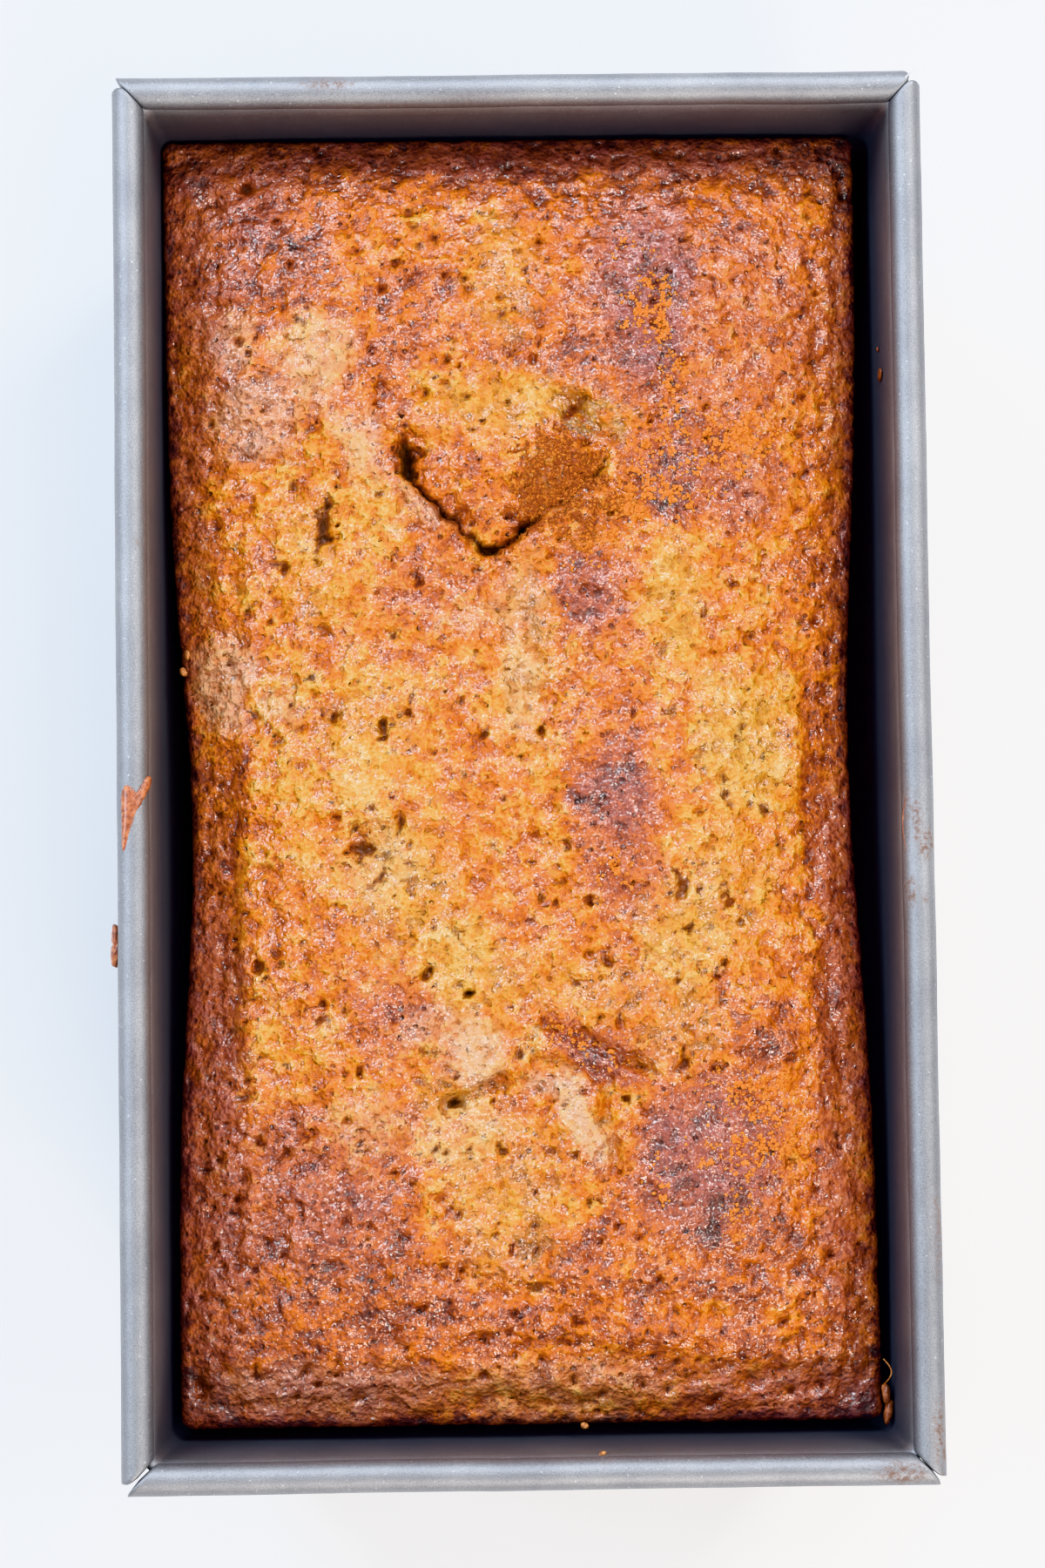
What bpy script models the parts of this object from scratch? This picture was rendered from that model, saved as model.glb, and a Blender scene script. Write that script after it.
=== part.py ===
"""Banana bread in the folded steel loaf pan that it was baked in.

Metres, +Z up.  +Y runs along the pan and +X across it.  The origin is under
the middle of the pan, on the surface that the pan stands on.
"""
import math

import bmesh
import bpy

MM = 0.001

# Pan: a 9 by 5 inch loaf pan, one sheet with a rolled rim.
RIM_LENGTH = 239.6 * MM
RIM_WIDTH = 138.0 * MM
PAN_HEIGHT = 70.0 * MM
SHEET = 0.8 * MM
WALL_LEAN = math.radians(5.0)
FOLD_RADIUS = 3.6 * MM
FOLD_STEPS = 4

# Rolled rim: four straight curls that stop at open mitres.
CURL = 5.5 * MM
CURL_SIDES = 16
WALL_IN_CURL = 0.25 * MM
MITRE_GAP = {(-1, 1): 0.4 * MM, (1, 1): 0.3 * MM, (-1, -1): 0.9 * MM, (1, -1): 0.5 * MM}

# Bread: it fills the pan and has shrunk a little from the walls.
CLEARANCE = 0.3 * MM
SIDE_GAP = 0.9 * MM
BREAD_CORNER = 3.5 * MM
BREAD_FOOT_RADIUS = 6.0 * MM
BEND_LEVEL = 30.0 * MM            # the side wall's only ring between foot and crust
FOOT_RING = (0.28, 0.30)          # foot rounding's ring: rise and inset, in radii
CRUST_FAR_END = 112.3 * MM
CRUST_NEAR_END = 110.5 * MM
# Crust sides: half-width, its change towards the far end, then the waist's
# depth, its place along the bread (-1 to 1) and its reach.
CRUST_LEFT = (60.9 * MM, 0.8 * MM, 3.4 * MM, -0.08, 0.37)
CRUST_RIGHT = (59.5 * MM, -0.6 * MM, 3.2 * MM, 0.05, 0.42)
CRUST_EDGE_HEIGHT = 51.5 * MM
CROWN_RISE = 10.6 * MM
SHOULDER = 40.0 * MM
DOME_FULLNESS = 2.2
BORDER = 5.0 * MM                 # relief fades out over this width at the edge
ACROSS = 46
ALONG = 72
# Grid lines are drawn together round the crack: place, reach and strength.
GATHER_ACROSS = (-0.07, 0.26, 0.40)
GATHER_ALONG = (0.46, 0.14, 0.50)

# Crust relief in millimetres.  Mound: centre x, y, radius x, y, rise.
MOUNDS = (
    (-1.0, 54.0, 13.0, 9.0, 2.2),     # tongue inside the crack
    (-29.0, 55.0, 7.0, 10.0, 1.2),    # lip left of the crack
    (17.0, 44.0, 10.0, 7.0, 1.2),     # lip right of the crack
    (-26.0, 2.0, 18.0, 38.0, 1.0),    # left lobe
    (24.0, 4.0, 16.0, 36.0, 1.4),     # right lobe
    (-8.7, -47.5, 5.5, 5.0, 1.4),     # pale lump
    (8.5, -60.0, 5.0, 8.0, 1.6),      # pale crescent
    (41.0, -44.5, 7.0, 6.0, 1.6),     # bump near the right side
    (-50.0, 70.0, 9.0, 7.0, 1.0),     # crust patch near the left side
    (-27.3, -11.0, 7.0, 5.0, -1.4),   # shallow hollow
)
# Furrow: start, end, half-width, depth.
FURROWS = (
    ((-25.0, 63.0), (-19.5, 55.0), 2.6, 3.5),
    ((-19.5, 55.0), (-6.0, 38.5), 2.4, 5.5),
    ((-6.0, 38.5), (0.2, 42.5), 2.3, 4.8),
    ((0.2, 42.5), (14.0, 52.0), 2.2, 3.6),
    ((14.0, 52.0), (15.5, 57.0), 2.2, 3.0),
    ((15.5, 57.0), (9.0, 64.0), 2.6, 2.2),
    ((-3.7, 36.0), (1.6, 13.0), 4.0, 1.8),
    ((1.6, 13.0), (5.0, -18.0), 5.0, 1.6),
    ((-13.0, -55.0), (-4.0, -52.0), 2.6, 1.8),
)
# Edge of the risen dome, where it stands above the flat border band:
# x of the edge, y range, and which way the dome lies.
DOME_STEPS = (
    (-49.0, -50.0, 9.0, 1.0),
    (47.2, -12.0, 9.0, -1.0),
)
STEP_HEIGHT = 1.6
STEP_SOFTNESS = 1.3
STEP_FADE = 6.0
# Shallow folds across the near end: spacing, height, slant, and where they
# fade in, along y and along x.
END_FOLD_WAVE = 9.5
END_FOLD_HEIGHT = 0.55
END_FOLD_SLANT = 0.12
END_FOLD_Y = (-84.0, -76.0)
END_FOLD_X = (-20.0, -5.0)


def clear_scene():
    for item in list(bpy.data.objects):
        bpy.data.objects.remove(item, do_unlink=True)


def new_collection(name):
    made = bpy.data.collections.new(name)
    bpy.context.scene.collection.children.link(made)
    return made


def new_object(name, mesh_maker, collection):
    """An object from a function that fills a bmesh."""
    shape = bmesh.new()
    mesh_maker(shape)
    bmesh.ops.recalc_face_normals(shape, faces=shape.faces)
    mesh = bpy.data.meshes.new(name)
    shape.to_mesh(mesh)
    shape.free()
    made = bpy.data.objects.new(name, mesh)
    collection.objects.link(made)
    return made


def give_material(item, colour, roughness, metallic):
    material = bpy.data.materials.new(item.name + "_material")
    material.use_nodes = True
    shader = material.node_tree.nodes["Principled BSDF"]
    shader.inputs["Base Color"].default_value = (*colour, 1.0)
    shader.inputs["Roughness"].default_value = roughness
    shader.inputs["Metallic"].default_value = metallic
    item.data.materials.append(material)


# ---------------------------------------------------------------- the pan

def inner_half(rim_size, height):
    """Half of the pan's inside width or length at a height."""
    at_curl = rim_size / 2 - CURL + WALL_IN_CURL
    return at_curl - (PAN_HEIGHT - CURL / 2 - height) * math.tan(WALL_LEAN)


def pan_tray(shape):
    """The inside face of the tray: a tapered box without its lid."""
    bmesh.ops.create_cube(shape, size=2.0)
    top = PAN_HEIGHT - CURL / 2
    for vert in shape.verts:
        level = top if vert.co.z > 0 else SHEET
        vert.co.x *= inner_half(RIM_WIDTH, level)
        vert.co.y *= inner_half(RIM_LENGTH, level)
        vert.co.z = level
    lid = [face for face in shape.faces if face.normal.z > 0.9]
    bmesh.ops.delete(shape, geom=lid, context="FACES_ONLY")


def add_curl(shape, along, side):
    """One straight curl of the rim, with both ends cut at 45 degrees.

    along is 0 for a curl across the pan (X) and 1 for one along it (Y).
    """
    reach = (RIM_WIDTH - CURL, RIM_LENGTH - CURL)
    rod = bmesh.ops.create_cone(
        shape, cap_ends=True, segments=CURL_SIDES,
        radius1=CURL / 2, radius2=CURL / 2, depth=reach[along])
    for vert in rod["verts"]:
        outward, upward, lengthwise = vert.co
        end = 1 if lengthwise > 0 else -1
        corner = (end, side) if along == 0 else (side, end)
        setback = MITRE_GAP[corner] / 2 * math.sqrt(2)
        lengthwise += end * (outward - setback)
        across = side * (reach[1 - along] / 2 + outward)
        level = PAN_HEIGHT - CURL / 2 + upward
        if along == 0:
            vert.co = (lengthwise, across, level)
        else:
            vert.co = (across, lengthwise, level)


def rim_curls(shape):
    for along in (0, 1):
        for side in (-1, 1):
            add_curl(shape, along, side)


def make_pan(parts, tools):
    curls = new_object("rim_curls", rim_curls, tools)
    curls.hide_render = True
    curls.display_type = "WIRE"

    pan = new_object("loaf_pan", pan_tray, parts)
    folds = pan.modifiers.new("folds", "BEVEL")
    folds.width = FOLD_RADIUS
    folds.segments = FOLD_STEPS
    folds.limit_method = "ANGLE"
    sheet = pan.modifiers.new("sheet", "SOLIDIFY")
    sheet.thickness = SHEET
    sheet.offset = 1.0
    sheet.use_even_offset = True
    rim = pan.modifiers.new("rim", "BOOLEAN")
    rim.operation = "UNION"
    rim.solver = "EXACT"
    rim.object = curls
    give_material(pan, (0.23, 0.24, 0.27), 0.42, 0.85)


# -------------------------------------------------------------- the bread

def mix(low, high, share):
    return low + (high - low) * share


def smooth_step(low, high, value):
    share = min(max((value - low) / (high - low), 0.0), 1.0)
    return share * share * (3 - 2 * share)


def furrow_distance(x, y, start, end):
    """Distance from a point to a straight run."""
    run_x, run_y = end[0] - start[0], end[1] - start[1]
    along = (x - start[0]) * run_x + (y - start[1]) * run_y
    share = min(max(along / (run_x ** 2 + run_y ** 2), 0.0), 1.0)
    return math.hypot(x - start[0] - share * run_x, y - start[1] - share * run_y)


def crust_half_width(side, place):
    """Half-width of the crust; place runs from -1 to 1 along the bread."""
    half, slope, waist, middle, reach = CRUST_LEFT if side < 0 else CRUST_RIGHT
    return half + slope * place - waist * math.exp(-((place - middle) / reach) ** 2)


def crust_end(side):
    return CRUST_FAR_END if side > 0 else CRUST_NEAR_END


def bread_point(u, v, share, inset=0.0):
    """Place (u, v) of the unit square on the bread's section.

    share is 0 at the foot and 1 at the crust; inset pulls the edge in.
    """
    foot_x = inner_half(RIM_WIDTH, SHEET) - SIDE_GAP
    foot_y = inner_half(RIM_LENGTH, SHEET) - SIDE_GAP
    half_x = mix(foot_x, crust_half_width(u, v), share) - inset
    half_y = mix(foot_y, crust_end(v), share) - inset
    x, y = abs(u) * half_x, abs(v) * half_y
    past_x = x - (half_x - BREAD_CORNER)
    past_y = y - (half_y - BREAD_CORNER)
    if past_x > 0 and past_y > 0:
        pull = max(past_x, past_y) / math.hypot(past_x, past_y)
        x += past_x * (pull - 1)
        y += past_y * (pull - 1)
    return math.copysign(x, u), math.copysign(y, v)


def relief(x, y):
    """Mounds, furrows and folds of the crust, in millimetres."""
    rise = 0.0
    for at_x, at_y, radius_x, radius_y, height in MOUNDS:
        rise += height * math.exp(-((x - at_x) / radius_x) ** 2 - ((y - at_y) / radius_y) ** 2)
    cut = 0.0
    for start, end, width, depth in FURROWS:
        cut = max(cut, depth * math.exp(-(furrow_distance(x, y, start, end) / width) ** 2))
    rise -= cut
    for edge_x, low_y, high_y, inward in DOME_STEPS:
        window = smooth_step(low_y - STEP_FADE, low_y + STEP_FADE, y)
        window *= 1 - smooth_step(high_y - STEP_FADE, high_y + STEP_FADE, y)
        rise += STEP_HEIGHT / 2 * window * math.tanh((x - edge_x) * inward / STEP_SOFTNESS)
    window = (1 - smooth_step(*END_FOLD_Y, y)) * smooth_step(*END_FOLD_X, x)
    wave = 2 * math.pi * (y + END_FOLD_SLANT * x) / END_FOLD_WAVE
    rise += END_FOLD_HEIGHT * window * math.sin(wave)
    return rise


def gathered(place, centre, reach, strength):
    """Move a grid line towards centre, keeping the ends at -1 and 1."""
    def moved(at):
        return at - strength * reach * math.tanh((at - centre) / reach)
    low, high = moved(-1.0), moved(1.0)
    return 2 * (moved(place) - low) / (high - low) - 1


def dome_share(distance):
    return 1 - (1 - min(distance / SHOULDER, 1.0)) ** DOME_FULLNESS


def crust_height(u, v, x, y):
    from_side = (1 - abs(u)) * crust_half_width(u, v)
    from_end = (1 - abs(v)) * crust_end(v)
    dome = CROWN_RISE * dome_share(from_side) * dome_share(from_end)
    fade = smooth_step(0.0, BORDER, min(from_side, from_end))
    return CRUST_EDGE_HEIGHT + dome + fade * relief(x / MM, y / MM) * MM


def bread_body(shape):
    bmesh.ops.create_grid(shape, x_segments=ACROSS, y_segments=ALONG, size=1.0)
    unit = {}
    for vert in shape.verts:
        u = gathered(vert.co.x, *GATHER_ACROSS)
        v = gathered(vert.co.y, *GATHER_ALONG)
        unit[vert] = (u, v)
    for vert, (u, v) in unit.items():
        x, y = bread_point(u, v, 1.0)
        vert.co = (x, y, crust_height(u, v, x, y))

    foot = SHEET + CLEARANCE
    ring_rise, ring_inset = FOOT_RING
    levels = (
        (BEND_LEVEL, 0.0),
        (foot + BREAD_FOOT_RADIUS, 0.0),
        (foot + BREAD_FOOT_RADIUS * ring_rise, BREAD_FOOT_RADIUS * ring_inset),
        (foot, BREAD_FOOT_RADIUS),
    )
    edges = [edge for edge in shape.edges if edge.is_boundary]
    for level, inset in levels:
        above = {tuple(vert.co): unit[vert] for edge in edges for vert in edge.verts}
        grown = bmesh.ops.extrude_edge_only(shape, edges=edges)["geom"]
        edges = [item for item in grown if isinstance(item, bmesh.types.BMEdge) and item.is_boundary]
        share = (level - foot) / (CRUST_EDGE_HEIGHT - foot)
        for vert in {vert for edge in edges for vert in edge.verts}:
            u, v = above[tuple(vert.co)]
            unit[vert] = (u, v)
            x, y = bread_point(u, v, share, inset)
            vert.co = (x, y, level)
    bmesh.ops.holes_fill(shape, edges=edges, sides=0)


def make_bread(parts):
    bread = new_object("banana_bread", bread_body, parts)
    bread.data.shade_smooth()
    give_material(bread, (0.52, 0.22, 0.07), 0.55, 0.0)


def main():
    clear_scene()
    parts = new_collection("banana_bread_in_pan")
    tools = new_collection("tools")
    make_pan(parts, tools)
    make_bread(parts)


main()
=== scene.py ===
"""Looks of the banana bread in its folded steel loaf pan.

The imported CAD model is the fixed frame, in metres.  The crust is worked out in
millimetres: x runs across the bread and y along it, from the pan's middle.
"""
import math

import bmesh
import bpy
import numpy as np
from mathutils import Matrix, Vector


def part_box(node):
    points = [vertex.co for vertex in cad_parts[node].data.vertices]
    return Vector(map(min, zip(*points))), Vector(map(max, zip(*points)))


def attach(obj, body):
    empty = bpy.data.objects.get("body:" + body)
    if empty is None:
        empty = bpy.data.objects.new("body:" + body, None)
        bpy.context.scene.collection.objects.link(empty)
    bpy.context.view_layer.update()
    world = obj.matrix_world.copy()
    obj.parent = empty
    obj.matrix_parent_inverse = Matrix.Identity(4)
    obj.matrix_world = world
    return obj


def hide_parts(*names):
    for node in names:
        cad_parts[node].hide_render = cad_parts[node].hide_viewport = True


MM = 0.001

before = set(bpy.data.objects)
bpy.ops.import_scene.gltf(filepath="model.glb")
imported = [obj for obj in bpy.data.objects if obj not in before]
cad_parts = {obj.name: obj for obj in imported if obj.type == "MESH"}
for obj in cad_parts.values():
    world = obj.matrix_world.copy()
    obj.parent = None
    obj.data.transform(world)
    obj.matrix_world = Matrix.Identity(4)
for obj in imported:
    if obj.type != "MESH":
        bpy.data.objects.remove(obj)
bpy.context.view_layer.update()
pan_low, pan_high = (Vector(corner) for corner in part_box("loaf_pan"))
bread_low, bread_high = (Vector(corner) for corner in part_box("banana_bread"))

# ------------------------------------------------------------------ sizes

PAN_WIDTH = (pan_high.x - pan_low.x) / MM
PAN_LENGTH = (pan_high.y - pan_low.y) / MM
PAN_HEIGHT = pan_high.z / MM
CURL = 5.5
SHEET = 0.8
WALL_LEAN = math.radians(5.0)
PAN_CORNER = 3.6
CURL_MIDDLE = PAN_HEIGHT - CURL / 2

BREAD_FOOT = bread_low.z / MM
CROWN = bread_high.z / MM
CRUST_EDGE = 51.5
FAR_END = bread_high.y / MM
NEAR_END = -bread_low.y / MM
BREAD_CORNER = 2.0
BREAD_SIDE_GAP = 0.9
BREAD_FOOT_RADIUS = 6.0
SHOULDER = 40.0
# Half-width of the crust, its change towards the far end, the waist's depth,
# its place along the bread (-1 to 1) and its reach.
LEFT_SIDE = (60.9, 0.8, 3.4, -0.08, 0.37)
RIGHT_SIDE = (59.5, -0.6, 3.2, 0.05, 0.42)
# Cells of the crust's grid, and rings of the loaf's side below it.
ACROSS = 206
ALONG = 372
SIDE_RINGS = 10
# Grid lines are drawn together round the crack: place, reach and strength.
GATHER_ACROSS = (-0.05, 0.26, 0.22)
GATHER_ALONG = (0.46, 0.14, 0.25)

# ------------------------------------------------------------------ noise

LATTICE = 256             # noise repeats after this many cells


def smooth_step(low, high, value):
    share = np.clip((value - low) / (high - low), 0.0, 1.0)
    return share * share * (3 - 2 * share)


def mix(low, high, share):
    return low + (high - low) * share


def gradient_noise(x, y, cell, seed):
    """Smooth noise, about -1 to 1, with features one cell wide."""
    turn = np.random.default_rng(seed).uniform(0, 2 * np.pi, (LATTICE, LATTICE))
    column, row = np.floor(x / cell).astype(int), np.floor(y / cell).astype(int)
    in_x, in_y = x / cell - column, y / cell - row

    def corner(right, up):
        angle = turn[(column + right) % LATTICE, (row + up) % LATTICE]
        return np.cos(angle) * (in_x - right) + np.sin(angle) * (in_y - up)

    ease_x = in_x ** 3 * (in_x * (6 * in_x - 15) + 10)
    ease_y = in_y ** 3 * (in_y * (6 * in_y - 15) + 10)
    lower = mix(corner(0, 0), corner(1, 0), ease_x)
    upper = mix(corner(0, 1), corner(1, 1), ease_x)
    return 1.5 * mix(lower, upper, ease_y)


def layered_noise(x, y, cell, seed, layers=3, keep=0.5):
    total, weight = 0.0, 1.0
    for layer in range(layers):
        total = total + weight * gradient_noise(x, y, cell / 2 ** layer, seed + 17 * layer)
        weight *= keep
    return total


def cell_noise(x, y, cell, seed):
    """Distance to the nearest of scattered points, in cells."""
    random = np.random.default_rng(seed).uniform(0, 1, (2, LATTICE, LATTICE))
    column, row = np.floor(x / cell).astype(int), np.floor(y / cell).astype(int)
    nearest = np.full(x.shape, 9.0)
    for right in (-1, 0, 1):
        for up in (-1, 0, 1):
            at = ((column + right) % LATTICE, (row + up) % LATTICE)
            gap_x = column + right + random[0][at] - x / cell
            gap_y = row + up + random[1][at] - y / cell
            nearest = np.minimum(nearest, np.hypot(gap_x, gap_y))
    return nearest


# ------------------------------------------------------- the crust's shape

# Mound: centre x, y, radius x, y, rise.
MOUNDS = (
    (-1, 54, 13, 9, 1.6),     # tongue inside the crack
    (-29, 55, 7, 10, 0.9),    # lip left of the crack
    (17, 44, 10, 7, 0.8),     # lip right of the crack
    (-26, 2, 18, 38, 1),    # left lobe
    (24, 4, 16, 36, 1.4),     # right lobe
    (-8.7, -47.5, 5, 4.5, 2),     # pale lump
    (9, -59, 4, 7, 2.4),      # pale crescent
    (41, -44.5, 7, 6, 1.6),     # bump near the right side
    (-50, 70, 9, 7, 1),     # crust patch near the left side
    (-27.3, -11, 7, 5, -1.4),   # shallow hollow
)
# The V-shaped crack, from its left arm through the tip to its right arm.
CRACK = ((-25.0, 63.5), (-20.6, 57.0), (-19.2, 52.5), (-13.4, 46.0), (-6.2, 38.9), (-3.4, 39.0),
         (0.2, 42.2), (7.6, 46.6), (13.2, 51.2), (15.2, 56.5), (15.4, 59.0))
# How far the crack is open at each of those points, in millimetres deep.
CRACK_DEPTH = (0.5, 2.4, 3.0, 2.5, 2.5, 2.8, 2.8, 1.3, 1.9, 1.0, 0.2)
# Furrow: start, end, half-width, depth.
FURROWS = (
    ((15.3, 58.5), (8, 63.5), 1.8, 1.9),
    ((8, 63.5), (-2, 66), 2.4, 0.8),
    ((-23, 64), (-15, 66.5), 2, 0.7),
    ((-3.7, 36), (1.6, 13), 3.5, 1.6),
    ((1.6, 13), (3.5, -18), 4, 1.3),
    ((-13.5, -55.5), (-4, -51.5), 1.6, 2),
    ((2, -43), (10, -44.5), 1.2, 1.6),
    ((10, -44.5), (20, -50), 1.3, 2),
    ((1, -47.5), (12, -50.5), 1.2, 1.5),
    ((13, -52), (14.5, -66), 1.3, 1.6),
    ((15, -49), (21, -51), 0.8, 2.2),
    ((12.5, -53), (12.5, -64), 1.1, 1.1),
    ((-50, 40), (-48.5, 24), 1.2, 1),
    ((-52.5, 82), (-41, 82), 1, 0.7),
    ((-52, 57), (-38, 54), 1, 0.8),
    ((51.5, 88), (52.5, 62), 0.9, 0.9),
    ((51, -30), (54, -58), 0.9, 0.9),
)
# Edge of the risen dome above the flat border band: x, y range, side of dome.
DOME_STEPS = (
    (-49, -50, 9, 1),
    (47.4, -12, 9, -1),
)
# Pit: centre x, y, radius x, y, depth and, where it isn't 0, turn in degrees.
PITS = (
    (-19.6, 54.4, 1.5, 3.4, 2.6, 12), (-5, 38.8, 1.7, 1, 2.2), (0.2, 42.3, 1.1, 0.8, 3.4, 25),
    (2, 43.3, 0.5, 0.4, 1.5), (12.8, 50.8, 0.9, 1.3, 1.2, -30), (8.6, 62.4, 2.6, 1.2, 1.2, 35),
    (-47, 103.2, 1.1, 1.1, 1.8), (-21, 89, 1.1, 0.9, 1.4), (-3, 79.3, 1.3, 0.9, 1.4, 30),
    (-4.4, 97.5, 1, 0.7, 0.8), (-12.5, 67.5, 0.9, 0.9, 1), (-16.2, 66, 0.8, 1, 1.2),
    (-34, 43.3, 1.3, 3.2, 2.2, -8), (-33.8, 25, 0.6, 1, 0.9), (-19.4, 13, 0.8, 1, 1.3),
    (-24, 9, 0.9, 2, 2, 8), (-32.6, 10.4, 0.8, 1.3, 1.6), (-27.6, -11.8, 2.2, 1.8, 1.8),
    (-21.2, -7.6, 0.9, 1.3, 1.6), (-24, -13, 1.2, 0.8, 1, 30), (-19.5, -17.5, 1.2, 2.2, 1),
    (29.9, 3.2, 0.6, 1.5, 1), (34.2, -3.2, 1.1, 0.9, 1.4), (40.6, -6, 1.1, 0.9, 1.4),
    (26.4, -19, 1.3, 2.2, 1.6, 25), (34.6, -21.6, 1, 1.4, 1.5, 20), (27.5, -26.2, 0.9, 0.9, 1.7),
    (13.6, -31.5, 1.1, 1.6, 1.3, 20), (10.6, -30.3, 0.8, 0.6, 1), (-45.6, -31.8, 1, 1.2, 1.8),
    (-42, -31.3, 0.8, 0.6, 1.2), (-34.8, -38, 0.8, 1.2, 1.6, 10), (-35, -40.8, 1.2, 0.9, 1.6, 30),
    (-9.8, -36.8, 1, 0.7, 2.4), (-11.7, -27, 0.6, 1.5, 1, 20), (-28.6, -49.3, 0.9, 0.9, 1.5),
    (-1.4, -47.2, 0.9, 1.6, 1.4), (-16.2, -46.6, 0.6, 0.6, 1), (15.5, -41.6, 0.7, 1.6, 1.2),
    (26.6, -48.8, 0.9, 1.2, 1.7), (32, -50, 1.4, 0.8, 1.6, 20), (27.6, -43.2, 1.2, 1, 0.9),
    (35.5, -41, 1.4, 0.8, 1, -20), (-12.9, -55.4, 1.4, 1, 1.8, 20), (-46, -61.2, 0.7, 1.3, 1.5),
    (-18.8, -51.5, 1.4, 0.6, 1.1, -20), (9.9, -72.2, 1.2, 0.8, 1.2, 30), (-1.6, -64.6, 0.8, 0.6, 1.1),
    (1, -86.6, 1.3, 0.9, 1.3, 20), (-18.4, -89.8, 1.4, 0.6, 1.3), (-15.6, -85, 0.8, 1.2, 0.9),
    (5.2, -95.8, 1.2, 0.8, 1.3, 20), (5.8, -90.6, 0.8, 1, 0.9), (43.8, -96.2, 1.5, 0.7, 1.2, 20),
    (19.6, -87.2, 0.7, 0.7, 1.2), (36.8, -83.6, 0.9, 0.5, 0.9), (44.5, -84.5, 0.8, 0.6, 1),
    (-38.4, -100.4, 0.9, 0.6, 1.1), (-56.6, -103, 1.3, 1.5, 1.6), (-49.8, -93.6, 0.8, 0.8, 1.2),
    (-50, -82.5, 0.6, 1.2, 1.1), (11, -108.2, 0.8, 0.8, 1.2), (8.5, -106.5, 0.8, 0.8, 1),
    (52, 64, 0.6, 0.9, 0.9), (47.6, 70.5, 0.7, 0.6, 0.9), (-57, 86.6, 1.3, 0.8, 1.2),
    (-46, 84.4, 1, 0.7, 0.9), (-43.6, 61.3, 0.9, 0.6, 0.8, 30), (-48.4, 33.4, 0.6, 0.6, 0.8),
    (2.4, 72, 0.9, 0.6, 0.9), (-8.6, 84, 0.7, 0.7, 0.9), (14.3, 88.6, 0.7, 0.5, 0.7),
    (23.5, 21.2, 0.7, 1, 1), (31, 28, 0.8, 0.6, 1), (43.6, -12.6, 1.2, 0.6, 0.9, 60),
    (6.8, -12, 0.6, 1, 0.9), (5.4, -18.2, 0.9, 0.6, 1), (2.2, -10.4, 0.5, 0.9, 0.8),
)
# Zones of random pores: centre x, y, radius x, y, pores per square centimetre.
PORE_ZONES = (
    (0, 0, 70, 125, 5),
    (0, 100, 62, 15, 8),
    (-54, 0, 9, 105, 8),
    (53, 0, 8, 105, 7),
    (-38, -82, 26, 28, 8),
    (0, -70, 24, 26, 7),
    (-20, 76, 24, 22, 6),
    (33, -15, 16, 26, 6),
    (-24, 20, 18, 40, 4),
    (24, -97, 36, 14, 8),
)
PORE_DEEPNESS = 2.0       # depth of a pore, in its radii
STEP_HEIGHT = 1.6
STEP_SOFTNESS = 0.8
STEP_FADE = 6.0
# Shallow folds across the near end: spacing, height, slant, and where they
# fade in, along y and along x.
END_FOLD_WAVE = 9.5
END_FOLD_HEIGHT = 0.5
END_FOLD_SLANT = 0.12
END_FOLD_Y = (-84.0, -76.0)
END_FOLD_X = (-20.0, -5.0)
SMOOTH_PATCH = (30.0, -68.0, 13.0, 11.0)    # centre and radii
BORDER = 5.0              # relief fades out over this width at the edge
ARRIS = 1.2               # width of the rounded edge
ARRIS_DROP = 0.8
DOME_FULLNESS = 2.2
DOME_RISE = CROWN - CRUST_EDGE - 1.8        # leaves room for relief


def gathered(place, centre, reach, strength):
    """Draw grid lines together round centre, keeping the ends at -1 and 1."""
    def moved(at):
        return at - strength * reach * np.tanh((at - centre) / reach)
    low, high = moved(-1.0), moved(1.0)
    return 2 * (moved(place) - low) / (high - low) - 1


def side_half_width(u, v):
    halves = []
    for half, slope, waist, middle, reach in (LEFT_SIDE, RIGHT_SIDE):
        halves.append(half + slope * v - waist * np.exp(-((v - middle) / reach) ** 2))
    return np.where(u < 0, halves[0], halves[1])


def end_half_length(v):
    return np.where(v > 0, FAR_END, NEAR_END)


def pan_inside(size, height):
    """Half of the pan's inside width or length at a height."""
    return size / 2 - CURL - (CURL_MIDDLE - height) * math.tan(WALL_LEAN)


def bread_place(u, v, share, inset):
    """x and y of unit-square places on the bread's section; 0 foot, 1 crust."""
    foot_x = pan_inside(PAN_WIDTH, SHEET) - BREAD_SIDE_GAP
    foot_y = pan_inside(PAN_LENGTH, SHEET) - BREAD_SIDE_GAP
    half_x = mix(foot_x, side_half_width(u, v), share) - inset
    half_y = mix(foot_y, end_half_length(v), share) - inset
    x, y = abs(u) * half_x, abs(v) * half_y
    past_x = np.maximum(x - (half_x - BREAD_CORNER), 0)
    past_y = np.maximum(y - (half_y - BREAD_CORNER), 0)
    reach = np.maximum(np.hypot(past_x, past_y), 1e-9)
    pull = np.where(np.minimum(past_x, past_y) > 0, np.maximum(past_x, past_y) / reach, 1.0)
    return np.sign(u) * (x + past_x * (pull - 1)), np.sign(v) * (y + past_y * (pull - 1))


def run_distance(x, y, start, end):
    run_x, run_y = end[0] - start[0], end[1] - start[1]
    along = ((x - start[0]) * run_x + (y - start[1]) * run_y) / (run_x ** 2 + run_y ** 2)
    along = np.clip(along, 0.0, 1.0)
    return np.hypot(x - start[0] - along * run_x, y - start[1] - along * run_y)


def oval_distance(x, y, at_x, at_y, radius_x, radius_y, turn=0.0):
    """Distance from the centre of an oval, 1 on its outline."""
    cosine, sine = math.cos(math.radians(turn)), math.sin(math.radians(turn))
    right = (x - at_x) * cosine + (y - at_y) * sine
    up = (y - at_y) * cosine - (x - at_x) * sine
    return np.hypot(right / radius_x, up / radius_y)


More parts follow.
